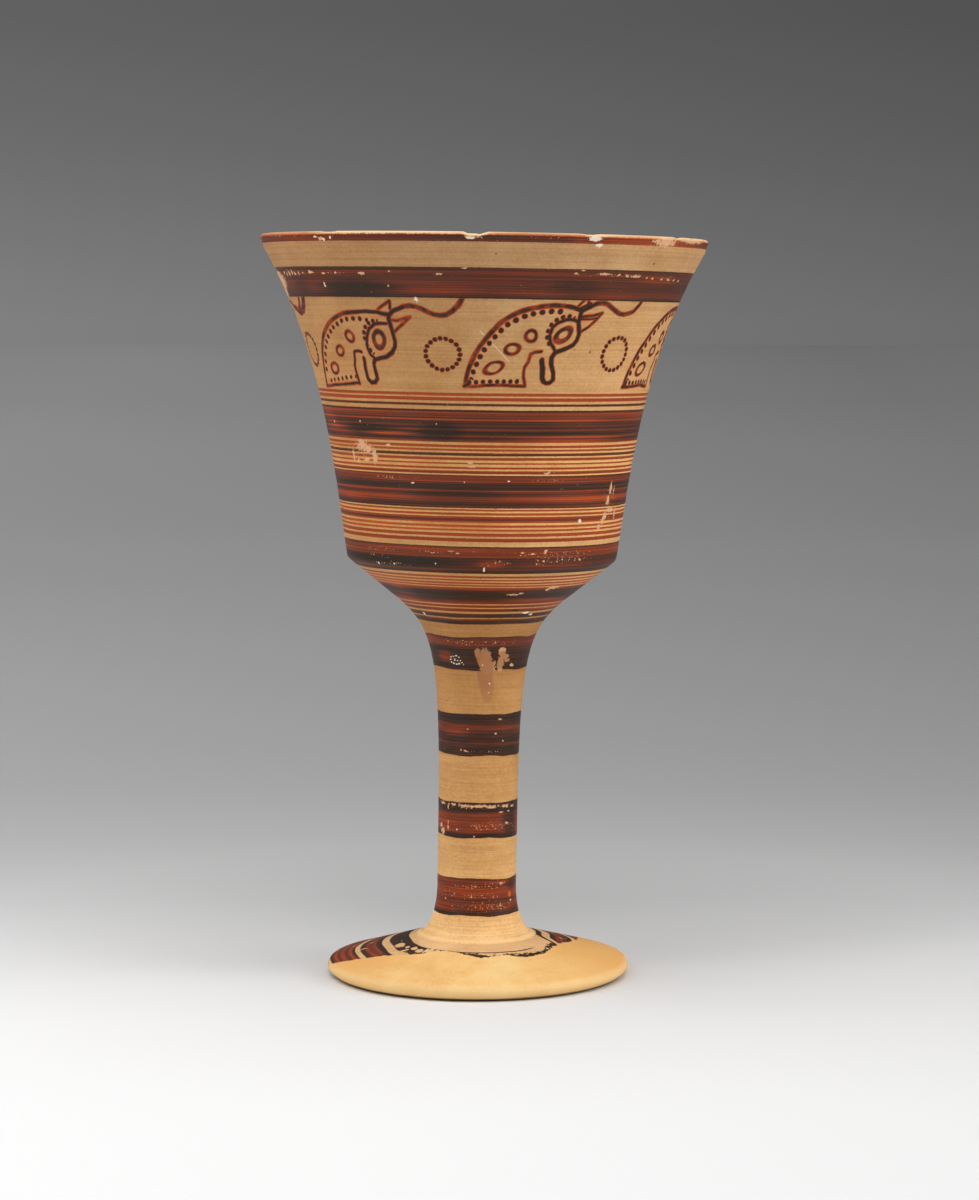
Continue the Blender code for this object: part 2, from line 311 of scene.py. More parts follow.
def makeChalice():
    zones = [insideRows(), lipRows() + outsideRows(), footRows(), undersideRows()]
    rows = np.array([row for zone in zones for row in zone])
    zoneOfRow = np.repeat(range(len(zones)), [len(zone) for zone in zones])
    keep = np.r_[True, np.linalg.norm(np.diff(rows, axis=0), axis=1) > 1e-6]
    rows, zoneOfRow = rows[keep], zoneOfRow[keep]
    along = np.r_[0, np.cumsum(np.linalg.norm(np.diff(rows, axis=0), axis=1))] * 1000

    columns = form["columns"]
    degrees = -180 + 360 * np.arange(columns) / columns
    angle = np.radians(degrees)[None, :]
    radius = np.repeat(rows[1:-1, 0, None], columns, axis=1)
    height = np.repeat(rows[1:-1, 1, None], columns, axis=1)
    mm = along[1:-1, None]

    # throwing rings, drawn inwards only, and a slightly uneven foot edge
    outer = (zoneOfRow[1:-1, None] == 1) & (height < top)
    rings = 0.5 + 0.5 * wobble(angle, mm, form["ringWaves"], form["ringSeed"])
    radius = radius - form["ringDepth"] * rings * outer
    edge = np.exp(-((radius - form["footRadius"]) / form["edgeReach"]) ** 2) * (zoneOfRow[1:-1, None] == 2)
    uneven = wobble(angle, mm, form["edgeWaves"], form["edgeSeed"])
    radius = radius - form["edgeDepth"] * edge * (0.5 + 0.5 * uneven)
    for chip in lipChips:
        share = chipShare(angle, chip)
        below = (form["height"] - height) * 1000
        sink = np.clip(1 - below / (chipForm["fadeDown"] * chip["deep"]), 0, 1)
        isLip = (zoneOfRow[1:-1, None] <= 1) & (height > top)
        height = height - chipForm["topCut"] * chip["deep"] * share * sink * isLip
        face = isLip & (rows[1:-1, 0, None] > form["lipRadius"] - form["lipWall"] / 2)
        radius = radius - chipForm["faceCut"] * chip["deep"] * share * sink * face

    radius = np.maximum(radius - form["inset"] * (radius > form["stemRadius"]), 0)
    x, y, z = leaning(radius * np.sin(angle), -radius * np.cos(angle), height)
    ends = [leaning(np.array(0.0), 0.0, np.array(rows[i, 1])) for i in (0, -1)]
    ends = np.array([[float(v) for v in end] for end in ends])
    points = np.r_[np.stack([x, y, z], -1).reshape(-1, 3), ends]

    count = len(rows) - 2
    i, j = np.meshgrid(range(count - 1), range(columns), indexing="ij")
    nextJ = (j + 1) % columns
    row = i * columns
    nextRow = row + columns
    quads = np.stack([row + j, row + nextJ, nextRow + nextJ, nextRow + j], -1)
    first, last = count * columns, count * columns + 1
    step = np.arange(columns)
    bottom = (count - 1) * columns
    faces = [(first, (s + 1) % columns, s) for s in step]
    faces += quads.reshape(-1, 4).tolist()
    faces += [(last, bottom + s, bottom + (s + 1) % columns) for s in step]

    mesh = bpy.data.meshes.new("paintedChalice")
    mesh.from_pydata(points.tolist(), [], [tuple(f) for f in faces])
    zoneOfFace = np.r_[[0] * columns, np.repeat(zoneOfRow[1:-2], columns), [3] * columns]
    mesh.polygons.foreach_set("material_index", zoneOfFace.astype(np.int32))

    # the place on the true turned form: angle in degrees, height and radius in mm, with its seam at the back
    corner = np.zeros(len(mesh.loops), np.int32)
    mesh.loops.foreach_get("vertex_index", corner)
    trueRadius = np.r_[np.repeat(rows[1:-1, 0], columns), 0, 0] * 1000
    trueHeight = np.r_[np.repeat(rows[1:-1, 1], columns), rows[0, 1], rows[-1, 1]] * 1000
    turnOf = np.r_[np.tile(degrees, count), 0, 0]
    turn = turnOf[corner]
    starts = np.zeros(len(mesh.polygons), np.int32)
    mesh.polygons.foreach_get("loop_start", starts)
    faceOf = np.repeat(np.arange(len(starts)), np.diff(np.r_[starts, len(corner)]))
    atSeam = np.maximum.reduceat(turn, starts)[faceOf] - turn > 180
    turn = turn + 360 * atSeam
    poles = corner >= first
    beside = np.minimum.reduceat(np.where(poles, np.inf, turn), starts)[faceOf]
    turn = np.where(poles, beside, turn)
    turned = mesh.attributes.new("turned", "FLOAT_VECTOR", "CORNER")
    turned.data.foreach_set("vector", np.stack([turn, trueHeight[corner], trueRadius[corner]], -1).ravel())

    # a seamless place for streaks that run round the vessel: two lengths round it and one along the profile
    turnOf = np.radians(turnOf)
    alongOf = np.r_[np.repeat(along[1:-1], columns), along[0], along[-1]]
    places = np.stack([form["ringMm"] * np.sin(turnOf), form["ringMm"] * np.cos(turnOf), alongOf], -1)
    ring = mesh.attributes.new("ring", "FLOAT_VECTOR", "POINT")
    ring.data.foreach_set("vector", places.ravel())

    mesh.shade_smooth()
    mesh.validate()
    mesh.update()
    chalice = bpy.data.objects.new("paintedChalice", mesh)
    bpy.context.scene.collection.objects.link(chalice)
    print("chalice thrown:", len(rows), "rows,", sum(len(f) - 2 for f in faces), "triangles")
    return chalice


chalice = makeChalice()


# a new material with its shader: returns the material, its tree and the shader node
def newFinish(name, plain):
    material = bpy.data.materials.new(name)
    material.use_nodes = True
    tree = material.node_tree
    tree.nodes.clear()
    shader = tree.nodes.new("ShaderNodeBsdfPrincipled")
    for key, value in plain.items():
        shader.inputs[key].default_value = value
    output = tree.nodes.new("ShaderNodeOutputMaterial")
    tree.links.new(shader.outputs[0], output.inputs["Surface"])
    return material, tree, shader


# where each point of the surface lies: as turned, on the circle for streaks, and in the object's own metres
def placesOn(tree):
    turned, ring = [addNode(tree, "Attribute", out="Vector", settings={"attribute_name": name})
                    for name in ("turned", "ring")]
    return turned, ring, addNode(tree, "TexCoord", out="Object")


# noise over lengths in mm: around is its length round the vessel, along its length down the profile
def streaks(tree, ring, around, along, detail=3.0, rough=0.55):
    place = addNode(tree, "VectorMath.MULTIPLY", [ring, (1 / around, 1 / around, 1 / along)])
    inputs = {"Vector": place, "Scale": 1.0, "Detail": detail, "Roughness": rough}
    return addNode(tree, "TexNoise", inputs, "Fac")


# even noise, its grain in mm
def grain(tree, spot, size, detail=2.0, rough=0.5):
    inputs = {"Vector": spot, "Scale": 1000 / size, "Detail": detail, "Roughness": rough}
    return addNode(tree, "TexNoise", inputs, "Fac")


# several noises added up, each with its share
def sharesOf(tree, noises, shares):
    parts = [addNode(tree, "Math.MULTIPLY", [noise, share]) for noise, share in zip(noises, shares)]
    total = parts[0]
    for part in parts[1:]:
        total = addNode(tree, "Math.ADD", [total, part])
    return total


outsideLine = np.array(lipRows() + outsideRows()) * 1000


# mm round the vessel for one degree of turn, at a height in mm on its outer side
def degreeLength(height):
    return math.radians(np.interp(height, outsideLine[::-1, 1], outsideLine[::-1, 0]))


# distance from the middle of an oval spot, 1 at its rim
def ovalGap(tree, turned, spot):
    at, height, halfWidth, halfHeight = spot[:4]
    halfTurn = halfWidth / degreeLength(height)
    scale = (1 / halfTurn, 1 / halfHeight, 0)
    shift = (-at / halfTurn, -height / halfHeight, 0)
    inside = addNode(tree, "VectorMath.MULTIPLY_ADD", [turned, scale, shift])
    return addNode(tree, "VectorMath.LENGTH", [inside], "Value")


# the nearest of several oval spots
def nearestOval(tree, turned, spots):
    nearest = ovalGap(tree, turned, spots[0])
    for spot in spots[1:]:
        nearest = addNode(tree, "Math.MINIMUM", [nearest, ovalGap(tree, turned, spot)])
    return nearest


# the same with ragged edges
def raggedOval(tree, turned, jagged, spots, swing):
    gap = nearestOval(tree, turned, spots)
    return addNode(tree, "Math.ADD", [gap, addNode(tree, "Math.MULTIPLY_ADD", [jagged, 2 * swing, -swing])])


# The clay: fine levigated terracotta with a thin slip, thrown and wiped smooth, so it is matt with faint
# lines round it. Its colour by height, from the foot up, carries painted light and shade: much paler low on
# the stem, darker on the cone and upper stem where the bowl shades them. Its colour by angle on the bowl
# carries painted light, shade and sheen: paler and whiter on the right, darker at the left. ridges are the
# heights of two fine turned ridges at the stem's foot, painted as pale lines.
clay = {
    "tones": [(0.36, "#C4874F"), (0.5, "#D69A60"), (0.62, "#E2AA70")],
    "speck": "#6E4A30", "bare": "#E3AE84", "lime": "#F6E6CC",
    "striationMm": 0.5, "striationRoundMm": 60.0, "cloudMm": 16.0, "fineMm": 0.9, "speckMm": 0.8,
    "toneShares": (0.38, 0.36, 0.26),        # of the striation, the clouds and the fine grain
    "speckEdge": (0.74, 0.79), "speckShare": 0.6, "fingerMm": 0.7, "fingerRoundMm": 50.0,
    "reliefShares": (0.6, 0.4), "reliefDepth": 0.00008, "roughness": 0.58,
    "lightAndShadeByHeight": [(14, (1.44, 1.78, 2.0)), (24, (1.36, 1.66, 1.85)), (40, (1.06, 1.20, 1.21)),
                 (70, (0.95, 1.01, 0.95)), (95, (0.82, 0.81, 0.69)), (108, (0.69, 0.67, 0.57)),
                 (118, (0.69, 0.67, 0.57)), (130, (0.95, 0.97, 0.9)), (144, (1.05, 1.1, 1.08)),
                 (150, (1.18, 1.24, 1.15)), (170, (1.18, 1.22, 1.08)), (176, (1.1, 1.14, 1.04)),
                 (193, (0.95, 0.99, 0.99)), (215, (0.89, 0.95, 0.96)), (233, (0.83, 0.91, 1.03)),
                 (240, (0.87, 0.94, 1.03))],
    "byAngle": [(-180, (1, 1, 1)), (-90, (0.92, 0.89, 0.86)), (-54, (0.88, 0.85, 0.82)),
                (-24, (0.84, 0.84, 0.84)), (0, (0.91, 0.95, 1.0)), (24, (1.03, 1.1, 1.18)),
                (54, (1.10, 1.16, 1.25)), (90, (1.06, 1.1, 1.15)), (180, (1, 1, 1))],
    "bowlFrom": 124.0, "bowlFull": 129.0, "palest": 1.3,
    "ridges": [(13.6, 0.55), (15.3, 0.3)], "ridgeMm": 0.3, "ridge": "#FBE2BC",
}

# The painted slip: rich in iron, black where it lies thick, red-brown where thinner and orange-red where
# thinnest. Its streaks are the hairs of a brush held against the turning pot.
paint = {
    "colours": [(0.0, "#D47A38"), (0.18, "#C4571F"), (0.34, "#A5421A"), (0.5, "#82371B"),
                (0.66, "#602F1E"), (0.82, "#452A1B"), (1.0, "#2F2115")],
    "streakMm": 0.2, "streakRoundMm": 110.0, "blotchMm": 2.6, "blotchRoundMm": 40.0,
    "lineReach": 0.12, "bandReach": 0.40, "lineTone": 0.43,        # thinner than lineTone, it is a line
    "streakShare": 1.7, "blotchShare": 0.5, "middle": -1.1, "roughness": 0.48,
    "waverMm": 9.0, "waverRoundMm": 30.0,
    "waverReach": (1.6, 0.3), "waverFrom": (113.0, 120.0),         # in mm below and above these two heights
    "frayMm": 0.8, "frayReach": 0.1, "fringe": (0.25, 1.0), "fringeFrom": (113.0, 116.0),
    "fringeCover": (0.35, 0.95), "bandCover": (0.02, 0.06),
}

# Painted strips down the outside. Each line has the heights of its top and bottom edge, in mm as thrown,
# and how thick the slip lies in even steps from the top edge to the bottom one (1 black, 0.5 red-brown,
# 0.2 orange-red)
strips = [
    [(239.55, 237.00, [0.5])],
    [(229.35, 219.95, [0.85, 0.72, 0.68, 0.7, 0.74, 0.72, 0.7, 0.66, 0.66, 0.68, 0.76, 0.95])],
    [(191.05, 190.15, [0.34]), (189.65, 188.60, [0.36]), (187.80, 187.00, [0.55, 0.8])],
    [(185.82, 175.70, [0.72, 0.9, 0.3, 0.5, 0.56, 0.6, 0.8, 0.32, 0.7, 0.85, 0.9, 0.62, 0.82, 0.84, 0.5, 0.8,
                       0.88, 0.8, 0.5, 0.75, 0.84, 0.78, 0.45, 0.4])],
    [(174.95, 174.14, [0.38]), (173.67, 173.05, [0.44]), (172.43, 171.55, [0.66]), (171.02, 170.18, [0.36]),
     (169.43, 168.93, [0.34]), (168.09, 167.43, [0.36]), (166.90, 165.93, [0.38, 0.48])],
    [(165.47, 155.13, [0.8, 0.52, 0.52, 0.54, 0.58, 0.8, 0.92, 0.82, 0.9, 0.92, 0.36, 0.6, 0.86, 0.62, 0.36,
                       0.42, 0.46, 0.5, 0.8, 0.88, 0.7, 0.9])],
    [(154.76, 154.22, [0.36]), (153.63, 152.96, [0.34]), (152.52, 150.6, [0.36, 0.58, 0.4]),
     (149.9, 149.18, [0.3]), (148.62, 147.98, [0.3]), (147.33, 146.33, [0.36]), (145.72, 144.6, [0.42])],
    [(143.08, 134.34, [0.9, 0.5, 0.5, 0.5, 0.52, 0.58, 0.82, 0.85, 0.82, 0.78, 0.74, 0.66, 0.92, 1.0])],
    [(133.48, 132.85, [0.40]), (132.33, 131.81, [0.38]), (131.28, 130.72, [0.38]), (130.33, 129.81, [0.40])],
    [(129.46, 123.61, [0.35, 0.6, 0.9, 0.95, 0.95, 0.95, 0.95, 0.75, 0.55, 0.4])],
    [(123.25, 122.40, [0.45]), (122.05, 120.96, [0.5, 0.6]), (120.26, 118.86, [0.7, 0.95]),
     (118.40, 116.63, [0.6, 0.95, 0.8])],
    [(112.26, 101.40, [0.78, 0.52, 0.5, 0.56, 0.85, 0.95, 0.95, 0.9, 0.88, 0.95, 1.0, 0.9])],
    [(86.79, 73.10, [0.9, 0.95, 0.9, 0.88, 0.66, 0.56, 0.64, 0.85, 0.85, 0.88, 0.6, 0.85, 0.92, 0.95, 0.9])],
    [(57.92, 46.23, [0.9, 0.95, 0.9, 0.85, 0.58, 0.52, 0.5, 0.5, 0.5, 0.52, 0.58, 0.9, 1.0])],
    [(32.89, 20.74, [0.66, 0.54, 0.64, 0.45, 0.42, 0.44, 0.46, 0.68, 0.5, 0.48, 0.54, 0.8, 0.92])],
]
edgeSoft = 0.06              # mm over which a painted edge fades out

# How ragged the worn spots are: each spot's size is 1, a swing makes its edge uneven, and an edge is the
# pair of sizes between which it fades
wear = {
    "jaggedMm": 0.75, "crumbMm": 0.55, "flakeSwing": 1.7, "flakeEdge": (0.92, 0.82), "tornSwing": 0.7,
    "tornEdge": (1.02, 0.96), "crustSwing": 1.4, "crustEdge": (1.0, 0.85), "stainEdge": (1.1, 0.8),
    "pepperReach": (1.3, 0.5), "pepperLift": 0.13, "pepperEdge": (0.745, 0.765), "scratchEdge": (0.15, 0.0),
    "thickReach": (1.25, 0.3),
}

# Places where the slip lies thicker or thinner: angle in degrees, height, half width and half height in
# mm, amount
thicker = [
    (-38, 222.9, 17, 3.2, 0.36), (-62, 223.5, 6, 3.6, 0.10), (-12, 222.6, 14, 2.2, -0.10),
    (26, 223.6, 10, 3.0, 0.14), (14, 221.2, 14, 1.2, -0.10), (40, 220.6, 16, 1.0, -0.16),
    (56, 226.6, 14, 2.0, -0.14), (-46, 179.6, 14, 1.4, 0.35), (-36, 178.2, 12, 0.7, -0.40),
    (-72, 181.0, 8, 4.0, -0.18), (-15, 179.0, 8, 3.2, 0.30), (34, 177.0, 24, 1.4, -0.30),
    (-62, 178.5, 9, 3.0, -0.16), (34, 182.5, 16, 2.0, -0.10), (-60, 157.2, 9, 1.6, -0.08),
    (-10, 159.0, 18, 2.4, 0.22), (42, 157.6, 20, 2.8, -0.09), (-40, 137.6, 24, 2.0, 0.34),
    (4, 137.6, 6, 1.6, -0.30), (34, 137.2, 16, 1.6, -0.18), (-52, 126.5, 7, 3.0, -0.25),
    (-46, 105.4, 4.4, 2.4, -0.36), (26, 121.5, 1.3, 0.4, 0.5), (-38, 80.6, 8, 1.3, -0.22),
    (55, 52.0, 4, 6.0, 0.34), (62, 31.0, 3.5, 2.6, 0.30), (56, 27.3, 1.0, 1.1, -0.50),
    (36, 125.2, 16, 0.6, -0.35), (120, 224.0, 20, 3.0, -0.2), (-130, 160.0, 22, 3.0, -0.25),
    (165, 180.0, 25, 2.5, 0.25), (-160, 138.0, 20, 2.5, -0.2),
]

# Paint flaked off down to the clay, in spots of their own: angle, height, half width and half height in mm
flakes = [
    (-71.8, 227.3, 0.5, 0.8), (-69.6, 227.0, 0.45, 0.9), (-67.2, 227.3, 0.6, 0.8),
    (-65.1, 227.5, 0.5, 0.9), (-63.2, 227.2, 0.6, 0.7), (-60.8, 227.3, 0.5, 0.6),
    (-58.4, 227.4, 0.6, 0.35), (56.5, 227.0, 0.6, 0.3), (60.5, 226.9, 0.9, 0.35), (64.0, 226.8, 0.6, 0.4),
    (67.5, 226.7, 0.7, 0.35), (-54.2, 227.6, 1.5, 0.5), (-48.3, 227.2, 1.2, 0.35),
    (-43.6, 227.3, 0.45, 0.45), (-34.2, 227.2, 1.4, 0.5), (-25.7, 227.9, 0.35, 0.25),
    (-26.8, 223.5, 0.3, 0.35), (-11.9, 227.2, 1.2, 0.32), (-5.0, 229.1, 0.9, 0.25),
    (24.9, 228.0, 0.7, 0.35), (26.6, 229.0, 0.9, 0.22), (33.5, 228.0, 2.2, 0.35), (38.5, 227.8, 0.9, 0.38),
    (41.5, 227.6, 0.8, 0.4), (44.5, 227.6, 1.9, 0.42), (49.5, 227.3, 0.6, 0.3), (52.0, 227.1, 0.5, 0.35),
    (-50.0, 173.9, 2.8, 1.7), (-47.0, 172.6, 2.4, 1.4), (-43.6, 170.6, 1.2, 2.0), (-56.0, 170.5, 0.7, 1.6),
    (-48.0, 169.3, 2.0, 0.6), (-53.5, 168.7, 0.8, 0.7), (-36.5, 174.2, 1.0, 0.4), (-4.5, 169.4, 1.1, 0.4),
    (-3.6, 168.2, 1.0, 0.35), (24.5, 166.2, 0.9, 0.4), (25.7, 166.7, 0.4, 0.6), (59.6, 161.0, 0.9, 1.8),
    (62.5, 160.2, 0.4, 1.1), (58.6, 157.0, 1.1, 1.5), (61.5, 154.0, 2.2, 0.9), (58.0, 152.0, 1.3, 1.3),
    (66.5, 152.8, 0.7, 1.7), (54.5, 148.8, 0.8, 0.9), (56.5, 150.4, 1.0, 1.3), (-12.3, 141.5, 0.8, 0.2),
    (-9.8, 140.9, 0.7, 0.25), (16.8, 141.2, 0.8, 0.3), (21.2, 140.8, 1.0, 0.25), (26.9, 141.5, 0.6, 0.8),
    (26.3, 138.5, 0.45, 0.4), (23.3, 137.6, 0.3, 0.3), (44.7, 138.6, 0.5, 0.3), (41.5, 129.2, 2.4, 0.7),
    (38.5, 128.6, 1.2, 0.5), (18.5, 127.1, 2.4, 0.25), (22.8, 127.5, 1.2, 0.3), (-18.7, 74.8, 0.8, 0.4),
    (-26.0, 75.0, 0.35, 0.35), (24.0, 80.5, 0.5, 0.35), (30.0, 85.2, 0.6, 0.25), (-61.0, 47.9, 1.2, 1.1),
    (-66.0, 49.4, 0.9, 0.9), (-48.0, 49.6, 0.3, 1.3), (-48.0, 56.0, 0.3, 1.2), (-20.0, 56.8, 2.2, 0.5),
    (-8.0, 56.7, 1.8, 0.5), (5.0, 56.8, 2.4, 0.45), (22.0, 56.6, 1.8, 0.5), (44.0, 56.6, 1.9, 0.55),
    (60.0, 56.4, 1.1, 0.4), (-38.0, 57.0, 1.7, 0.4), (-62.0, 56.9, 1.4, 0.6), (47.0, 51.0, 0.8, 0.4),
    (36.0, 54.7, 0.9, 0.25), (50.0, 54.8, 0.5, 0.3), (-5.0, 46.9, 0.25, 0.25), (38.0, 31.4, 1.0, 0.35),
    (36.0, 24.3, 0.3, 0.8), (-50.5, 25.9, 0.4, 0.3), (120.0, 140.5, 1.2, 0.4), (150.0, 171.0, 1.8, 1.2),
    (-110.0, 160.5, 1.2, 1.0), (-140.0, 227.6, 1.8, 0.4), (170.0, 104.0, 1.2, 1.0),
    (-3.0, 238.9, 2.8, 0.9), (-44.5, 237.6, 1.3, 0.5), (51.5, 238.3, 6.0, 1.5), (66.0, 239.0, 9.0, 0.7),
    (33.0, 104.6, 1.0, 0.8), (41.0, 103.0, 1.0, 0.5),
]

# Larger patches torn off whole, with edges of their own
torn = [
    (4.5, 105.0, 2.2, 3.6), (9.0, 102.6, 2.6, 2.6), (25.5, 107.2, 1.3, 1.6), (25.0, 103.6, 1.2, 2.8),
    (-3.0, 107.0, 1.0, 1.6), (31.0, 105.8, 1.2, 0.9), (-85.5, 225.3, 12.5, 3.3), (-88.5, 222.0, 10.5, 3.2),
]

# Stains on the bare clay, the first four the brown in the torn patches of the upper stem and the run below
# them, and thin washes of slip between lines: angle, height, half sizes in mm, share, colour
stains = [
    (6.5, 102.0, 3.0, 8.0, 0.9, "#B0744A"), (10.0, 95.0, 2.4, 4.5, 0.5, "#B0744A"),
    (-4.0, 106.6, 2.0, 3.0, 0.9, "#B0744A"), (28.5, 104.6, 3.4, 3.4, 0.85, "#B47A4C"),
    (35.3, 204.1, 0.55, 0.5, 0.9, "#A0603A"), (-8.0, 150.6, 15.0, 2.4, 0.34, "#C4571F"),
    (-52.0, 151.0, 12.0, 1.6, 0.25, "#C4571F"), (16.0, 146.6, 20.0, 1.6, 0.18, "#C4571F"),
    (-10.0, 167.7, 0.5, 0.35, 0.9, "#2A1E18"), (50.0, 231.6, 0.6, 0.45, 0.8, "#8A4A38"),
    (3.0, 233.5, 0.4, 0.3, 0.6, "#6E4A3A"),
]

# a curl of paint under the topmost band at the left, and a fine scratch across the frieze
curl = {
    "half": 1.15, "points": [(-64.0, 221.2), (-66.0, 217.8), (-68.6, 215.9), (-72.6, 215.2), (-75.6, 216.4)],
}
scratch = {"from": (-1.0, 210.2), "to": (8.1, 200.9), "half": 0.1, "share": 0.45}

# The lip by angle in degrees: how thick the slip lies on its face, and how pale its top edge is: worn to
# bare clay, and lighter still as a painted highlight
lip = {
    "tones": [(-180, 0.5, 0.3), (-94, 0.5, 0.3), (-88, 0.3, 0.7), (-83, 0.56, 0.15), (-74, 0.62, 0.1),
              (-66, 0.6, 0.2), (-50, 0.62, 0.2), (-44, 0.66, 0.5), (-39, 0.72, 0.9), (-20, 0.76, 0.85),
              (-6, 0.84, 0.8), (0, 0.82, 1.0), (2, 0.84, 0.35), (10, 0.78, 0.15), (20, 0.74, 0.25),
              (24, 0.56, 0.25), (28, 0.6, 0.9), (33, 0.5, 0.6), (38, 0.46, 0.4), (48, 0.42, 0.5),
              (60, 0.5, 0.6), (80, 0.6, 0.5), (100, 0.5, 0.3), (180, 0.5, 0.3)],
    "faceFrom": 236.4, "thinFrom": 238.8, "edgeFrom": 239.1, "edgeTo": 239.4, "swing": 0.7, "thinning": 0.3,
    "edge": "#FFD8A8",
}

# Stretches that are worn to a peppering of small flakes
pepper = [
    (-64.0, 227.5, 10.0, 1.2), (60.0, 227.4, 9.0, 0.9), (-44.0, 227.3, 9.0, 0.4), (38.0, 227.8, 17.0, 0.5),
    (-52.0, 171.5, 8.0, 4.0), (-38.0, 164.2, 15.0, 0.5), (59.5, 155.5, 5.0, 7.5), (24.0, 163.9, 10.0, 0.3),
    (-48.0, 141.3, 9.0, 0.8), (-22.0, 141.0, 8.0, 0.5), (34.0, 140.7, 22.0, 0.9), (-40.0, 136.6, 9.0, 0.7),
    (6.0, 137.8, 6.0, 1.2), (0.0, 110.3, 17.0, 1.2), (-57.0, 75.2, 4.5, 0.6), (10.0, 74.6, 9.0, 0.4),
    (0.0, 56.7, 17.5, 1.0), (47.0, 54.6, 4.0, 0.4), (-45.0, 48.6, 5.0, 0.9), (24.0, 50.0, 10.0, 1.8),
    (5.0, 27.3, 9.0, 1.2), (24.0, 30.6, 6.0, 1.6), (-12.0, 30.4, 6.0, 0.7), (-44.0, 27.8, 5.0, 1.4),
    (10.0, 24.0, 12.0, 1.8), (145.0, 140.8, 30.0, 0.9), (-135.0, 111.0, 9.0, 0.5),
    (180.0, 56.8, 12.0, 0.5), (165.0, 228.0, 25.0, 0.5), (60.0, 238.4, 16.0, 0.9),
    (-60.0, 238.8, 16.0, 0.6), (13.0, 238.6, 12.0, 0.5), (36.0, 138.8, 16.0, 1.6),
    (-48.0, 138.9, 7.0, 0.8), (30.0, 103.6, 3.2, 2.2), (-166.0, 238.4, 40.0, 0.7),
    (125.0, 238.4, 30.0, 0.7),
]

# Lime crust and bright chips: angle, height, half width and half height in mm
crusts = [
    (-43.5, 237.6, 0.5, 0.6), (-41.2, 238.0, 0.4, 0.5), (-46.5, 238.3, 0.7, 0.3),
    (-49.6, 223.9, 0.5, 0.75), (-19.1, 219.5, 0.75, 0.7), (1.1, 135.8, 0.3, 0.8),
    (-27.0, 162.6, 0.6, 0.25), (9.9, 163.8, 0.5, 0.25), (-6.6, 163.3, 0.2, 0.2), (-19.1, 137.4, 0.3, 0.25),
    (-48.4, 136.5, 0.4, 0.4), (-39.1, 136.6, 0.3, 0.25), (-16.3, 181.3, 0.2, 0.25),
    (-48.8, 181.3, 0.25, 0.3), (-67.7, 180.7, 0.3, 0.4), (42.2, 150.9, 0.6, 0.6), (12.5, 96.9, 0.28, 0.28),
    (11.7, 94.0, 0.3, 0.3), (3.0, 103.0, 0.25, 0.2), (-52.4, 119.3, 0.5, 0.4), (28.0, 238.6, 2.2, 0.9),
    (29.5, 236.6, 1.3, 0.7), (-15.8, 81.9, 0.2, 0.2), (36.0, 78.0, 0.25, 0.25), (-31.0, 48.9, 0.25, 0.25),
    (58.0, 25.4, 0.3, 0.3), (-3.2, 238.3, 1.5, 0.5), (37.0, 120.5, 1.3, 0.35), (43.0, 119.8, 0.7, 0.3),
    (-37.0, 104.5, 0.22, 0.3), (-35.8, 105.3, 0.3, 0.2), (-36.0, 103.6, 0.25, 0.25),
    (-32.6, 105.5, 0.3, 0.22), (-33.0, 103.2, 0.35, 0.22), (-31.0, 104.4, 0.22, 0.4),
    (-28.6, 105.8, 0.35, 0.22), (-25.4, 105.3, 0.25, 0.25), (-23.9, 104.3, 0.22, 0.35),
    (-28.9, 103.0, 0.35, 0.25), (-25.6, 103.2, 0.4, 0.25), (-27.4, 104.2, 0.25, 0.2),
    (-21.8, 103.6, 0.25, 0.2), (-19.8, 103.0, 0.3, 0.25),
]
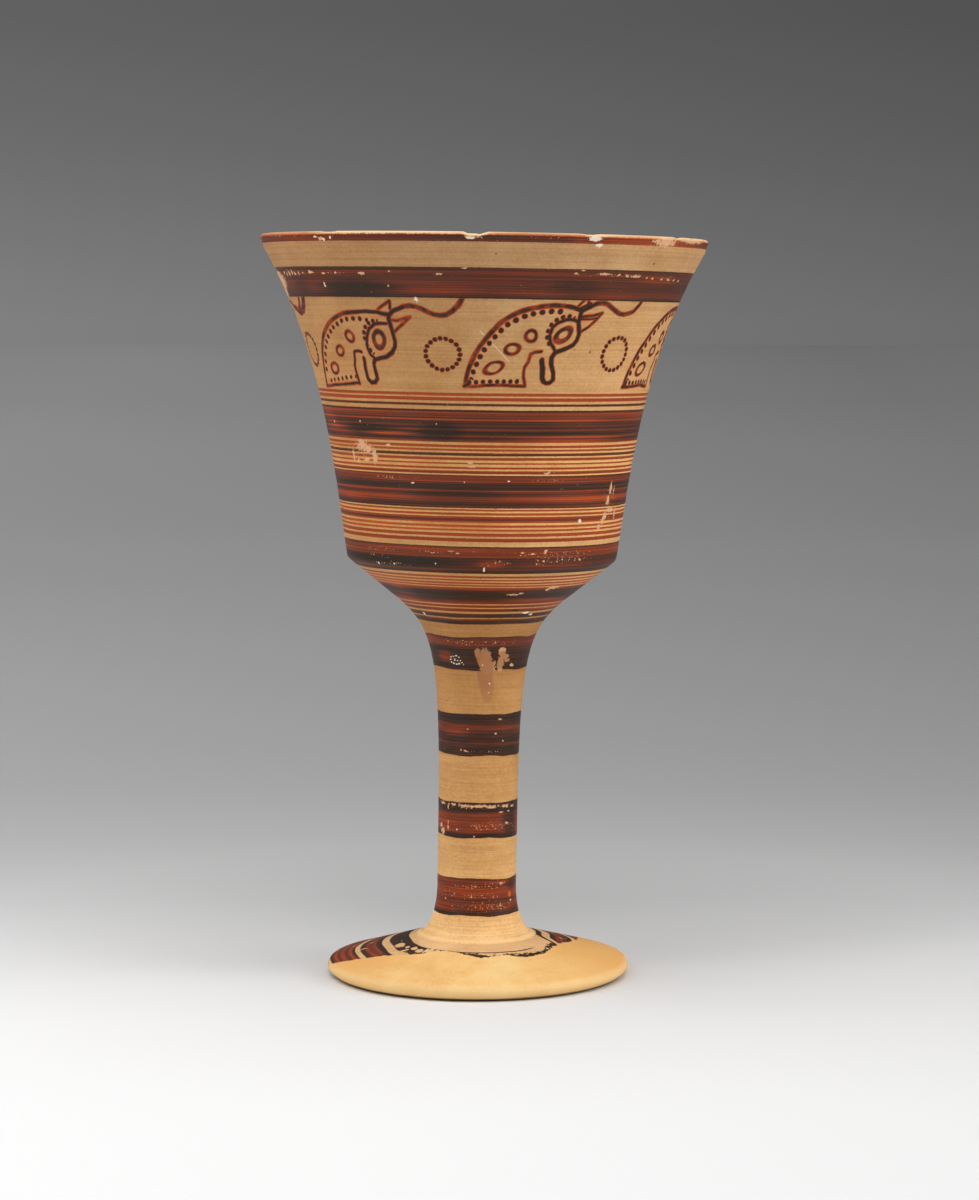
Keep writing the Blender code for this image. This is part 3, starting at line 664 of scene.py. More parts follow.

# Brush strokes of the painted animal heads, six round the bowl, each with the curling horn and the ring of
# dots that follow it. Degrees and mm on the wall from the nape's foot at the lower left; each stroke is a
# chain of points with its half width. The points follow the painted lines, read off the photograph.
# The painter drew no two alike, so there are two drawings.
frieze = {"foot": 193.0, "top": 220.4, "slant": 0.25, "middle": 206.0, "lead": 2.0}
heads = [
    {
        "places": [-126.0, -6.5, 53.8, 174.0],
        "nape": {"centre": (27.5, -3.0), "radius": 26.9, "widen": 1.25, "between": (142.0, 112.0),
                 "half": 0.78, "from": 73.0, "to": 174.0},
        "red": [
            (0.55, [(0.2, 0.1), (6.6, 0.4), (13.2, 0.7), (20.2, 0.3)]),
            (0.56, [(24.7, 11.2), (22.8, 11.0), (21.3, 10.3), (21.0, 8.1), (19.7, 6.1), (19.6, 3.0),
                    (20.2, 0.6)]),
            (0.46, [(34.2, 25.3), (36.7, 27.8)]),
            (0.52, [(35.6, 21.8), (40.2, 22.5), (43.0, 23.1), (41.6, 21.3), (38.4, 18.3), (36.6, 17.2)]),
            (0.76, [(38.6, 25.3), (40.3, 26.1), (41.9, 26.3), (43.8, 25.9), (45.8, 24.9), (48.0, 23.8),
                    (50.1, 23.0), (52.0, 22.8), (53.8, 23.2), (55.4, 24.0), (57.0, 25.8), (58.3, 28.2)]),
        ],
        "dark": [
            (0.55, [(0.3, 0.2), (2.0, 0.9)]),
            (0.92, [(25.4, 8.4), (25.8, 6.1), (25.9, 3.2), (26.4, 2.0)]),
            (0.76, [(26.4, 2.0), (27.3, 1.4), (28.6, 1.4), (29.8, 2.5), (29.6, 4.6), (28.6, 7.0),
                    (28.5, 9.2), (29.3, 10.9)]),
            (0.78, [(29.3, 10.8), (33.3, 12.5), (35.1, 13.4), (36.1, 14.8), (36.4, 16.5), (35.6, 20.3),
                    (35.7, 24.0)]),
            (0.58, [(35.3, 20.5), (34.0, 21.0), (31.4, 21.1), (29.1, 20.3), (27.5, 18.6), (26.9, 16.1),
                    (27.3, 13.9), (28.9, 11.4)]),
            (0.46, [(37.3, 25.2), (37.4, 28.0)]), (0.38, [(35.8, 21.2), (41.6, 21.6)]),
            (0.78, [(35.7, 23.7), (38.6, 25.3)]), (0.5, [(34.6, 24.3), (38.2, 26.2)]),
        ],
        "ovals": [((20.9, 15.8), (1.65, 1.7), -20.0), ((15.5, 11.7), (2.1, 1.5), 20.0),
                  ((9.8, 5.9), (2.95, 1.65), 22.0)],
        "eye": ((31.1, 16.3), (2.6, 1.6), 40.0),
        "beads": {"inside": 1.72, "every": 2.55, "half": 0.8, "from": 84.0, "to": 168.0},
        "eyeBeads": {"centre": (31.6, 16.5), "radius": 5.5, "count": 17, "half": 0.7,
                     "from": 65.0, "to": 226.0},
        "ticks": {"from": 1.0, "to": 18.2, "every": 2.2, "height": 1.45, "slope": 0.02, "half": 0.7},
        "ring": {"centre": (52.5, 10.5), "radii": (5.4, 5.0), "count": 19, "half": 0.72},
    },
    {
        "places": [-67.5, 113.5],
        "nape": {"centre": (25.5, -3.5), "radius": 25.3, "widen": 0.6, "between": (110.0, 90.0),
                 "half": 0.72, "from": 86.0, "to": 176.0},
        "red": [
            (0.54, [(-0.4, -1.0), (6.0, -0.6), (13.8, -0.1), (22.1, 0.4)]),
            (0.54, [(35.7, 23.2), (39.9, 25.9)]),
            (0.54, [(39.2, 20.1), (41.2, 19.9), (43.4, 20.5), (45.7, 21.2), (43.1, 19.0), (40.1, 16.5)]),
            (0.8, [(43.6, 24.2), (46.0, 24.6), (47.9, 24.3), (49.7, 23.6), (51.4, 22.6), (53.2, 21.9),
                   (55.0, 21.7), (56.8, 21.9), (58.7, 23.0), (60.2, 24.6), (61.8, 27.4)]),
        ],
        "dark": [
            (0.54, [(25.9, 9.9), (24.4, 10.3), (22.4, 10.1), (22.0, 7.5), (21.3, 5.6), (21.3, 3.6),
                    (22.1, 0.3)]),
            (0.74, [(26.3, 8.0), (26.0, 4.6), (26.4, 1.8), (27.5, 0.6), (29.3, 0.7), (30.6, 1.9),
                    (30.1, 4.9), (30.1, 6.5), (30.8, 7.7)]),
            (0.74, [(30.8, 7.7), (35.4, 8.7), (37.8, 10.1), (39.1, 11.7), (39.5, 13.6), (39.3, 15.5),
                    (38.7, 20.7), (39.1, 21.6), (40.6, 22.8), (43.8, 24.2)]),
            (0.58, [(37.7, 19.1), (35.5, 19.2), (33.2, 18.8), (31.0, 17.3), (29.4, 14.8), (28.8, 12.8),
                    (28.8, 10.9), (29.6, 9.1), (31.2, 7.9)]),
            (0.66, [(27.2, 22.4), (31.1, 22.6), (34.7, 22.5), (38.9, 21.7)]),
            (0.50, [(39.7, 23.5), (40.1, 26.0)]),
        ],
        "ovals": [((22.1, 14.9), (1.75, 1.5), -12.0), ((15.7, 10.3), (1.85, 1.5), 10.0),
                  ((9.8, 4.8), (2.1, 1.6), 15.0)],
        "eye": ((33.8, 14.1), (1.95, 2.5), -12.0),
        "beads": {"inside": 1.9, "every": 2.62, "half": 0.74, "from": 76.0, "to": 165.0},
        "eyeBeads": {"centre": (34.0, 14.2), "radius": 5.55, "count": 18, "half": 0.72,
                     "from": 80.0, "to": 238.0},
        "ticks": {"from": 3.4, "to": 21.0, "every": 2.6, "height": 0.35, "slope": 0.1, "half": 0.62},
        "ring": {"centre": (54.8, 9.9), "radii": (5.4, 4.85), "count": 19, "half": 0.72},
    },
]

# How the strokes are laid: their half width round ovals, how far the hand sways in degrees and mm, where a
# stroke's cover fades out, and how thick the slip is along the middle of thin and dark strokes and of dots
drawing = {
    "ovalHalf": 0.6, "eyeHalf": 0.85,
    "swayAngle": 0.45, "swayAngleMm": 6.0, "swayHeight": 0.35, "swayHeightMm": 5.0,
    "bottom": 191.4, "fade": (0.20, 0.08), "edgeTone": 0.22, "poolMm": 3.2, "poolTone": (1.9, -0.38),
    "redCore": (-0.06, -0.36), "darkCore": (-0.04, -0.30), "darkTone": 0.8,
    "dotCore": (0.04, -0.20), "dotTone": 0.75,
}


# distance from a point to a chain of straight touches of the brush, less its half width
def strokeGap(tree, point, half, points):
    nearest = None
    for start, end in zip(points, points[1:]):
        run = (end[0] - start[0], end[1] - start[1], 0)
        squared = run[0] ** 2 + run[1] ** 2
        fromStart = addNode(tree, "VectorMath.SUBTRACT", [point, (*start, 0)])
        towards = (run[0] / squared, run[1] / squared, 0)
        onRun = addNode(tree, "VectorMath.DOT_PRODUCT", [fromStart, towards], "Value")
        share = addNode(tree, "Clamp", [onRun])
        foot = addNode(tree, "VectorMath.SCALE", {0: run, "Scale": share})
        gap = addNode(tree, "VectorMath.DISTANCE", [fromStart, foot], "Value")
        nearest = gap if nearest is None else addNode(tree, "Math.MINIMUM", [nearest, gap])
    return addNode(tree, "Math.ADD", [nearest, -half])


# polar place round a centre: distance and angle in degrees, 0 to the right and 90 upwards
def polar(tree, point, centre):
    away = addNode(tree, "VectorMath.SUBTRACT", [point, (*centre, 0)])
    distance = addNode(tree, "VectorMath.LENGTH", [away], "Value")
    across = addNode(tree, "VectorMath.DOT_PRODUCT", [away, (1, 0, 0)], "Value")
    upwards = addNode(tree, "VectorMath.DOT_PRODUCT", [away, (0, 1, 0)], "Value")
    turn = addNode(tree, "Math.ARCTAN2", [upwards, across])
    return distance, addNode(tree, "Math.MULTIPLY", [turn, math.degrees(1)])


# distance from a row of round dots: across the row and along it in mm, one dot every so many mm
def dotGap(tree, across, along, every, half):
    cell = addNode(tree, "Math.MULTIPLY_ADD", [along, 1 / every, 0.5])
    part = addNode(tree, "Math.FRACT", [cell])
    offset = addNode(tree, "Math.MULTIPLY_ADD", [part, every, -every / 2])
    both = addNode(tree, "CombineXYZ", [across, offset])
    gap = addNode(tree, "VectorMath.LENGTH", [both], "Value")
    return addNode(tree, "Math.ADD", [gap, -half])


farAway = 9.0                # mm, beyond any stroke


# keeps a distance where value lies between low and high, and makes it large elsewhere
def onlyBetween(tree, gap, value, low, high):
    inside = addNode(tree, "Math.COMPARE", [value, (low + high) / 2, (high - low) / 2])
    kept = addNode(tree, "Math.MULTIPLY_ADD", [inside, -farAway, farAway])
    return addNode(tree, "Math.ADD", [gap, kept])


# turns the angle and height on the wall into the place on the drawing whose stretch of wall it is;
# where the other drawing stands, the place comes out far off every stroke
def figurePoint(tree, angle, height, places):
    everyPlace = sorted((place, place in places) for entry in heads for place in entry["places"])
    everyPlace = [(everyPlace[-1][0] - 360, everyPlace[-1][1])] + everyPlace
    slant = frieze["slant"]
    lean = addNode(tree, "Math.MULTIPLY_ADD", [height, -slant, slant * frieze["middle"]])
    share = addNode(tree, "MapRange", [addNode(tree, "Math.ADD", [angle, lean]), -180.0, 180.0])
    stops = []
    for place, mine in everyPlace:
        start = max((place + frieze["lead"] + 180) / 360, 0.0)
        stops.append((start, ((place + 360) / 720 if mine else 0.0, 0, 0)))
    packed = addNode(tree, "ValToRGB", [share], stops=stops)
    packed.node.color_ramp.interpolation = "CONSTANT"
    first = addNode(tree, "SeparateColor", [packed])
    at = addNode(tree, "Math.MULTIPLY_ADD", [first, 720.0, -360.0])
    across = addNode(tree, "Math.SUBTRACT", [angle, at])
    upwards = addNode(tree, "Math.ADD", [height, -frieze["foot"]])
    return addNode(tree, "CombineXYZ", [across, upwards])


# one drawing: distances from its thin red strokes, its dark ones and its dots
def headGaps(tree, angle, height, head):
    point = figurePoint(tree, angle, height, head["places"])
    red = dark = None
    for half, points in head["red"]:
        gap = strokeGap(tree, point, half, points)
        red = gap if red is None else addNode(tree, "Math.MINIMUM", [red, gap])
    for half, points in head["dark"]:
        gap = strokeGap(tree, point, half, points)
        dark = gap if dark is None else addNode(tree, "Math.MINIMUM", [dark, gap])
    for centre, radii, tilt in head["ovals"] + [head["eye"]]:
        half = drawing["eyeHalf" if (centre, radii, tilt) == head["eye"] else "ovalHalf"]
        turn = math.radians(tilt)
        away = addNode(tree, "VectorMath.SUBTRACT", [point, (*centre, 0)])
        longAxis = (math.cos(turn) / radii[0], math.sin(turn) / radii[0], 0)
        shortAxis = (-math.sin(turn) / radii[1], math.cos(turn) / radii[1], 0)
        long = addNode(tree, "VectorMath.DOT_PRODUCT", [away, longAxis], "Value")
        short = addNode(tree, "VectorMath.DOT_PRODUCT", [away, shortAxis], "Value")
        inside = addNode(tree, "CombineXYZ", [long, short])
        reach = addNode(tree, "VectorMath.LENGTH", [inside], "Value")
        rim = addNode(tree, "Math.ABSOLUTE", [addNode(tree, "Math.ADD", [reach, -1.0])])
        gap = addNode(tree, "Math.MULTIPLY_ADD", [rim, sum(radii) / 2, -half])
        red = addNode(tree, "Math.MINIMUM", [red, gap])
    nape = head["nape"]
    distance, turn = polar(tree, point, nape["centre"])
    widest = nape["radius"] + nape["widen"]
    radius = addNode(tree, "MapRange", [turn, *nape["between"], nape["radius"], widest], settings=softStep)
    off = addNode(tree, "Math.SUBTRACT", [distance, radius])
    arc = addNode(tree, "Math.ADD", [addNode(tree, "Math.ABSOLUTE", [off]), -nape["half"]])
    red = addNode(tree, "Math.MINIMUM", [red, onlyBetween(tree, arc, turn, nape["from"], nape["to"])])
    beads = head["beads"]
    along = addNode(tree, "Math.MULTIPLY", [turn, math.radians(nape["radius"] - beads["inside"])])
    inward = addNode(tree, "Math.ADD", [off, beads["inside"]])
    row = dotGap(tree, inward, along, beads["every"], beads["half"])
    dots = onlyBetween(tree, row, turn, beads["from"], beads["to"])
    eye = head["eyeBeads"]
    distance, turn = polar(tree, point, eye["centre"])
    turn = addNode(tree, "Math.FLOORED_MODULO", [turn, 360.0])
    outward = addNode(tree, "Math.ADD", [distance, -eye["radius"]])
    along = addNode(tree, "Math.MULTIPLY", [turn, math.radians(eye["radius"])])
    row = dotGap(tree, outward, along, 2 * math.pi * eye["radius"] / eye["count"], eye["half"])
    dots = addNode(tree, "Math.MINIMUM", [dots, onlyBetween(tree, row, turn, eye["from"], eye["to"])])
    ticks = head["ticks"]
    across = addNode(tree, "VectorMath.DOT_PRODUCT", [point, (1, 0, 0)], "Value")
    upwards = addNode(tree, "VectorMath.DOT_PRODUCT", [point, (-ticks["slope"], 1, 0)], "Value")
    upwards = addNode(tree, "Math.ADD", [upwards, -ticks["height"]])
    row = dotGap(tree, upwards, across, ticks["every"], ticks["half"])
    dots = addNode(tree, "Math.MINIMUM", [dots, onlyBetween(tree, row, across, ticks["from"], ticks["to"])])
    ring = head["ring"]
    mean = sum(ring["radii"]) / 2
    away = addNode(tree, "VectorMath.SUBTRACT", [point, (*ring["centre"], 0)])
    scale = (mean / ring["radii"][0], mean / ring["radii"][1], 0)
    distance, turn = polar(tree, addNode(tree, "VectorMath.MULTIPLY", [away, scale]), (0, 0))
    outward = addNode(tree, "Math.ADD", [distance, -mean])
    along = addNode(tree, "Math.MULTIPLY", [turn, math.radians(mean)])
    row = dotGap(tree, outward, along, 2 * math.pi * mean / ring["count"], ring["half"])
    return red, dark, addNode(tree, "Math.MINIMUM", [dots, row])


# painted bands and lines: how far each point is covered, and how thick the slip lies there
def bandPaint(tree, height):
    total = None
    for strip in strips:
        high, low = strip[0][0] + 4 * edgeSoft, strip[-1][1] - 4 * edgeSoft
        reach = high - low
        stops = [(0.0, (0, 0, 0))]
        for upper, lower, tones in strip:
            tones = tones if len(tones) > 1 else tones * 2
            first, last = upper - edgeSoft, lower + edgeSoft
            stops.append(((high - upper - edgeSoft) / reach, (0, tones[0], 0)))
            stops += [((high - place) / reach, (1.0, tone, 0))
                      for place, tone in zip(np.linspace(first, last, len(tones)), tones)]
            stops.append(((high - lower + edgeSoft) / reach, (0, tones[-1], 0)))
        share = addNode(tree, "MapRange", [height, high, low])
        colour = addNode(tree, "ValToRGB", [share], stops=stops[:-1] + [(stops[-1][0], (0, 0, 0))])
        if total is None:
            total = colour
        else:
            total = addNode(tree, "Mix", {0: 1.0, 6: total, 7: colour}, 2, settings=colourPlus)
    parts = addNode(tree, "SeparateColor", [total]).node.outputs
    return parts[0], parts[1]


# the clay's own colour: mottled, with the thrower's faint lines and a few dark specks
def clayColour(tree, ring, spot, angle, height):
    striation = streaks(tree, ring, clay["striationRoundMm"], clay["striationMm"], 3.0, 0.6)
    cloud = grain(tree, spot, clay["cloudMm"], 4.0, 0.6)
    fine = grain(tree, spot, clay["fineMm"], 2.0, 0.6)
    tone = sharesOf(tree, (striation, cloud, fine), clay["toneShares"])
    body = addNode(tree, "ValToRGB", [tone], stops=clay["tones"])
    specks = grain(tree, spot, clay["speckMm"], 1.0)
    specks = addNode(tree, "MapRange", [specks, *clay["speckEdge"], 0.0, clay["speckShare"]])
    body = addNode(tree, "Mix", {0: specks, 6: body, 7: linear(clay["speck"])}, 2, settings=colourMix)
    # painted light and shade by height: much paler low on the stem, darker on the cone under the bowl
    low, high = clay["lightAndShadeByHeight"][0][0], clay["lightAndShadeByHeight"][-1][0]
    share = addNode(tree, "MapRange", [height, low, high])
    stops = []
    for at, values in clay["lightAndShadeByHeight"]:
        scale = clay["palest"] if at > clay["bowlFull"] else 1
        stops.append(((at - low) / (high - low), [value / 2 * scale for value in values]))
    heightLightAndShade = addNode(tree, "ValToRGB", [share], stops=stops)
    body = addNode(tree, "Mix", {0: 1.0, 6: body, 7: heightLightAndShade}, 2, settings=colourTimes)
    # painted light, shade and sheen round the bowl: paler and whiter on the right, darker at the left
    stops = [((at + 180) / 360, [value / clay["palest"] for value in values])
             for at, values in clay["byAngle"]]
    sideLightAndShade = addNode(tree, "ValToRGB", [addNode(tree, "MapRange", [angle, -180.0, 180.0])], stops=stops)
    onBowl = addNode(tree, "MapRange", [height, clay["bowlFrom"], clay["bowlFull"]])
    body = addNode(tree, "Mix", {0: onBowl, 6: body, 7: sideLightAndShade}, 2, settings=colourTimes)
    body = addNode(tree, "Mix", {0: 1.0, 6: body, 7: body}, 2, settings=colourPlus)
    # pale lines painted along the two fine turned ridges at the stem's foot
    for at, share in clay["ridges"]:
        away = addNode(tree, "Math.ABSOLUTE", [addNode(tree, "Math.ADD", [height, -at])])
        paleRidge = addNode(tree, "MapRange", [away, clay["ridgeMm"], 0.0, 0.0, share])
        body = addNode(tree, "Mix", {0: paleRidge, 6: body, 7: linear(clay["ridge"])}, 2, settings=colourMix)
    return body, fine, striation


# slip-coated thrown terracotta, painted in bands with iron slip before firing: the clay is matt with the
# thrower's fine lines in it, the paint is smoother with a dull sheen, and flakes show the clay again
def paintedTerracotta():
    material, tree, shader = newFinish("slip-painted thrown terracotta", {
        "IOR": 1.5, "Specular IOR Level": 0.2})
    turned, ring, spot = placesOn(tree)
    angle = addNode(tree, "VectorMath.DOT_PRODUCT", [turned, (1, 0, 0)], "Value")
    height = addNode(tree, "VectorMath.DOT_PRODUCT", [turned, (0, 1, 0)], "Value")

    # wear: spots of their own and stretches worn to a peppering
    jagged = grain(tree, spot, wear["jaggedMm"], 3.0, 0.65)
    flakeGap = raggedOval(tree, turned, jagged, flakes, wear["flakeSwing"])
    tornGap = raggedOval(tree, turned, jagged, torn, wear["tornSwing"])
    near = addNode(tree, "MapRange", [nearestOval(tree, turned, pepper), *wear["pepperReach"]])
    crumbs = grain(tree, spot, wear["crumbMm"], 2.0, 0.6)
    peppered = addNode(tree, "Math.MULTIPLY_ADD", [near, wear["pepperLift"], crumbs])
    flaked = addNode(tree, "MapRange", [flakeGap, *wear["flakeEdge"]])
    for gap, edge in ((tornGap, wear["tornEdge"]), (peppered, wear["pepperEdge"])):
        flaked = addNode(tree, "Math.MAXIMUM", [flaked, addNode(tree, "MapRange", [gap, *edge])])
    crustGap = raggedOval(tree, turned, jagged, crusts, wear["crustSwing"])
    crusted = addNode(tree, "MapRange", [crustGap, *wear["crustEdge"]])

    # the brush wavers a little, and more on the narrow stem
    waver = streaks(tree, ring, paint["waverRoundMm"], paint["waverMm"], 1.0)
    waverSize = addNode(tree, "MapRange", [height, *paint["waverFrom"], *paint["waverReach"]])
    sway = addNode(tree, "Math.MULTIPLY", [addNode(tree, "Math.ADD", [waver, -0.5]), waverSize])
    fray = grain(tree, spot, paint["frayMm"], 1.0)
    fray = addNode(tree, "Math.MULTIPLY_ADD", [fray, 2 * paint["frayReach"], -paint["frayReach"]])
    swayed = addNode(tree, "Math.ADD", [addNode(tree, "Math.ADD", [height, sway]), fray])
    cover, bandThick = bandPaint(tree, swayed)

    # figures
    across, up = drawing["swayAngle"], drawing["swayHeight"]
    sideways = grain(tree, spot, drawing["swayAngleMm"], 1.0)
    sideways = addNode(tree, "Math.MULTIPLY_ADD", [sideways, 2 * across, -across])
    upwards = grain(tree, spot, drawing["swayHeightMm"], 1.0)
    upwards = addNode(tree, "Math.MULTIPLY_ADD", [upwards, 2 * up, -up])
    angleDrawn = addNode(tree, "Math.ADD", [addNode(tree, "Math.ADD", [angle, sideways]), fray])
    heightDrawn = addNode(tree, "Math.ADD", [addNode(tree, "Math.ADD", [height, upwards]), fray])
    red, dark, dots = headGaps(tree, angleDrawn, heightDrawn, heads[0])
    for head in heads[1:]:
        nextRed, nextDark, nextDots = headGaps(tree, angleDrawn, heightDrawn, head)
        red = addNode(tree, "Math.MINIMUM", [red, nextRed])
        dark = addNode(tree, "Math.MINIMUM", [dark, nextDark])
        dots = addNode(tree, "Math.MINIMUM", [dots, nextDots])
    around = addNode(tree, "CombineXYZ", [angleDrawn, heightDrawn])
    red = addNode(tree, "Math.MINIMUM", [red, strokeGap(tree, around, curl["half"], curl["points"])])
    middle = (frieze["top"] + drawing["bottom"]) / 2
    inFrieze = addNode(tree, "Math.COMPARE", [height, middle, frieze["top"] - middle])
    drawn = addNode(tree, "Math.MINIMUM", [addNode(tree, "Math.MINIMUM", [red, dark]), dots])
    figureCover = addNode(tree, "MapRange", [drawn, *drawing["fade"]])
    figureCover = addNode(tree, "Math.MULTIPLY", [figureCover, inFrieze])
    pool = grain(tree, spot, drawing["poolMm"], 2.0)
    core = addNode(tree, "Math.MULTIPLY_ADD", [pool, *drawing["poolTone"]])
    core = addNode(tree, "Math.MULTIPLY", [addNode(tree, "MapRange", [red, *drawing["redCore"]]), core])
    for gap, name in ((dark, "dark"), (dots, "dot")):
        laid = addNode(tree, "MapRange", [gap, *drawing[name + "Core"], 0.0, drawing[name + "Tone"]])
        core = addNode(tree, "Math.MAXIMUM", [core, laid])
    figureThick = addNode(tree, "Math.ADD", [core, drawing["edgeTone"]], settings={"use_clamp": True})
    isBand = addNode(tree, "MapRange", [cover, *paint["bandCover"]])

    # how the slip pooled and ran thin
    brush = streaks(tree, ring, paint["streakRoundMm"], paint["streakMm"], 2.0, 0.6)
    blotch = streaks(tree, ring, paint["blotchRoundMm"], paint["blotchMm"], 3.0, 0.6)
    fringe = addNode(tree, "MapRange", [height, *paint["fringeFrom"], *paint["fringe"]])
    fringe = addNode(tree, "MapRange", [cover, *paint["fringeCover"], fringe, 1.0])
    bandThick = addNode(tree, "Math.MULTIPLY", [bandThick, fringe])
    stops = [((at + 180) / 360, (tone, pale, 0)) for at, tone, pale in lip["tones"]]
    lipRamp = addNode(tree, "ValToRGB", [addNode(tree, "MapRange", [angle, -180.0, 180.0])], stops=stops)
    lipParts = addNode(tree, "SeparateColor", [lipRamp]).node.outputs
    onLip = addNode(tree, "Math.GREATER_THAN", [height, lip["faceFrom"]])
    lipThick = addNode(tree, "MapRange", [height, lip["thinFrom"], lip["edgeFrom"], 1.0, lip["thinning"]])
    lipThick = addNode(tree, "Math.MULTIPLY", [lipParts[0], lipThick])
    bandThick = addNode(tree, "Mix", {0: onLip, 2: bandThick, 3: lipThick})
    wide = addNode(tree, "Math.GREATER_THAN", [bandThick, paint["lineTone"]])
    reach = addNode(tree, "MapRange", [wide, 0.0, 1.0, paint["lineReach"], paint["bandReach"]])
    streaked = addNode(tree, "Math.MULTIPLY", [brush, paint["streakShare"]])
    blotched = addNode(tree, "Math.MULTIPLY", [blotch, paint["blotchShare"]])
    uneven = addNode(tree, "Math.ADD", [addNode(tree, "Math.ADD", [streaked, blotched]), paint["middle"]])
    pooled = addNode(tree, "Math.MULTIPLY", [uneven, addNode(tree, "Math.MULTIPLY", [reach, 2.0])])
    thick = addNode(tree, "Math.ADD", [bandThick, pooled])
    for place in thicker:
        gap = ovalGap(tree, turned, place)
        extra = addNode(tree, "MapRange", [gap, *wear["thickReach"], 0.0, place[4]], settings=softStep)
        thick = addNode(tree, "Math.ADD", [thick, extra])
    thick = addNode(tree, "Mix", {0: isBand, 2: figureThick, 3: thick})
    cover = addNode(tree, "Math.MAXIMUM", [cover, figureCover])
    kept = addNode(tree, "MapRange", [flaked, 0.0, 1.0, 1.0, 0.0])
    cover = addNode(tree, "Math.MULTIPLY", [cover, kept])

    # colour
    body, fine = clayColour(tree, ring, spot, angle, height)[:2]
    bare = addNode(tree, "Mix", {0: flaked, 6: body, 7: linear(clay["bare"])}, 2, settings=colourMix)
    slip = addNode(tree, "ValToRGB", [thick], stops=paint["colours"])
    for stain in stains:
        gap = ovalGap(tree, turned, stain)
        stained = addNode(tree, "MapRange", [gap, *wear["stainEdge"], 0.0, stain[4]])
        bare = addNode(tree, "Mix", {0: stained, 6: bare, 7: linear(stain[5])}, 2, settings=colourMix)
    drawnAt = addNode(tree, "VectorMath.MULTIPLY", [turned, (1, 1, 0)])
    scratched = strokeGap(tree, drawnAt, scratch["half"], [scratch["from"], scratch["to"]])
    scratched = addNode(tree, "MapRange", [scratched, *wear["scratchEdge"], 0.0, scratch["share"]])
    bare = addNode(tree, "Mix", {0: scratched, 6: bare, 7: linear(clay["lime"])}, 2, settings=colourMix)
    colour = addNode(tree, "Mix", {0: cover, 6: bare, 7: slip}, 2, settings=colourMix)
    # the lip's top edge: worn to bare clay and lightened further as a painted highlight
    unevenHeight = addNode(tree, "Math.MULTIPLY_ADD", [jagged, 2 * lip["swing"], -lip["swing"]])
    unevenHeight = addNode(tree, "Math.ADD", [height, unevenHeight])
    wornAndLitEdge = addNode(tree, "MapRange", [unevenHeight, lip["edgeFrom"], lip["edgeTo"]])
    wornAndLitEdge = addNode(tree, "Math.MULTIPLY", [wornAndLitEdge, lipParts[1]])
    colour = addNode(tree, "Mix", {0: wornAndLitEdge, 6: colour, 7: linear(lip["edge"])}, 2, settings=colourMix)
    colour = addNode(tree, "Mix", {0: crusted, 6: colour, 7: linear(clay["lime"])}, 2, settings=colourMix)
    tree.links.new(colour, shader.inputs["Base Color"])
    rough = addNode(tree, "MapRange", [cover, 0.0, 1.0, clay["roughness"], paint["roughness"]])
    tree.links.new(rough, shader.inputs["Roughness"])

    # relief: fingertip lines and the grain of the clay
    fingers = streaks(tree, ring, clay["fingerRoundMm"], clay["fingerMm"], 3.0, 0.6)
    relief = sharesOf(tree, (fingers, fine), clay["reliefShares"])
    bump = addNode(tree, "Bump", {"Height": relief, "Strength": 1.0, "Distance": clay["reliefDepth"]})
    tree.links.new(bump, shader.inputs["Normal"])
    return material


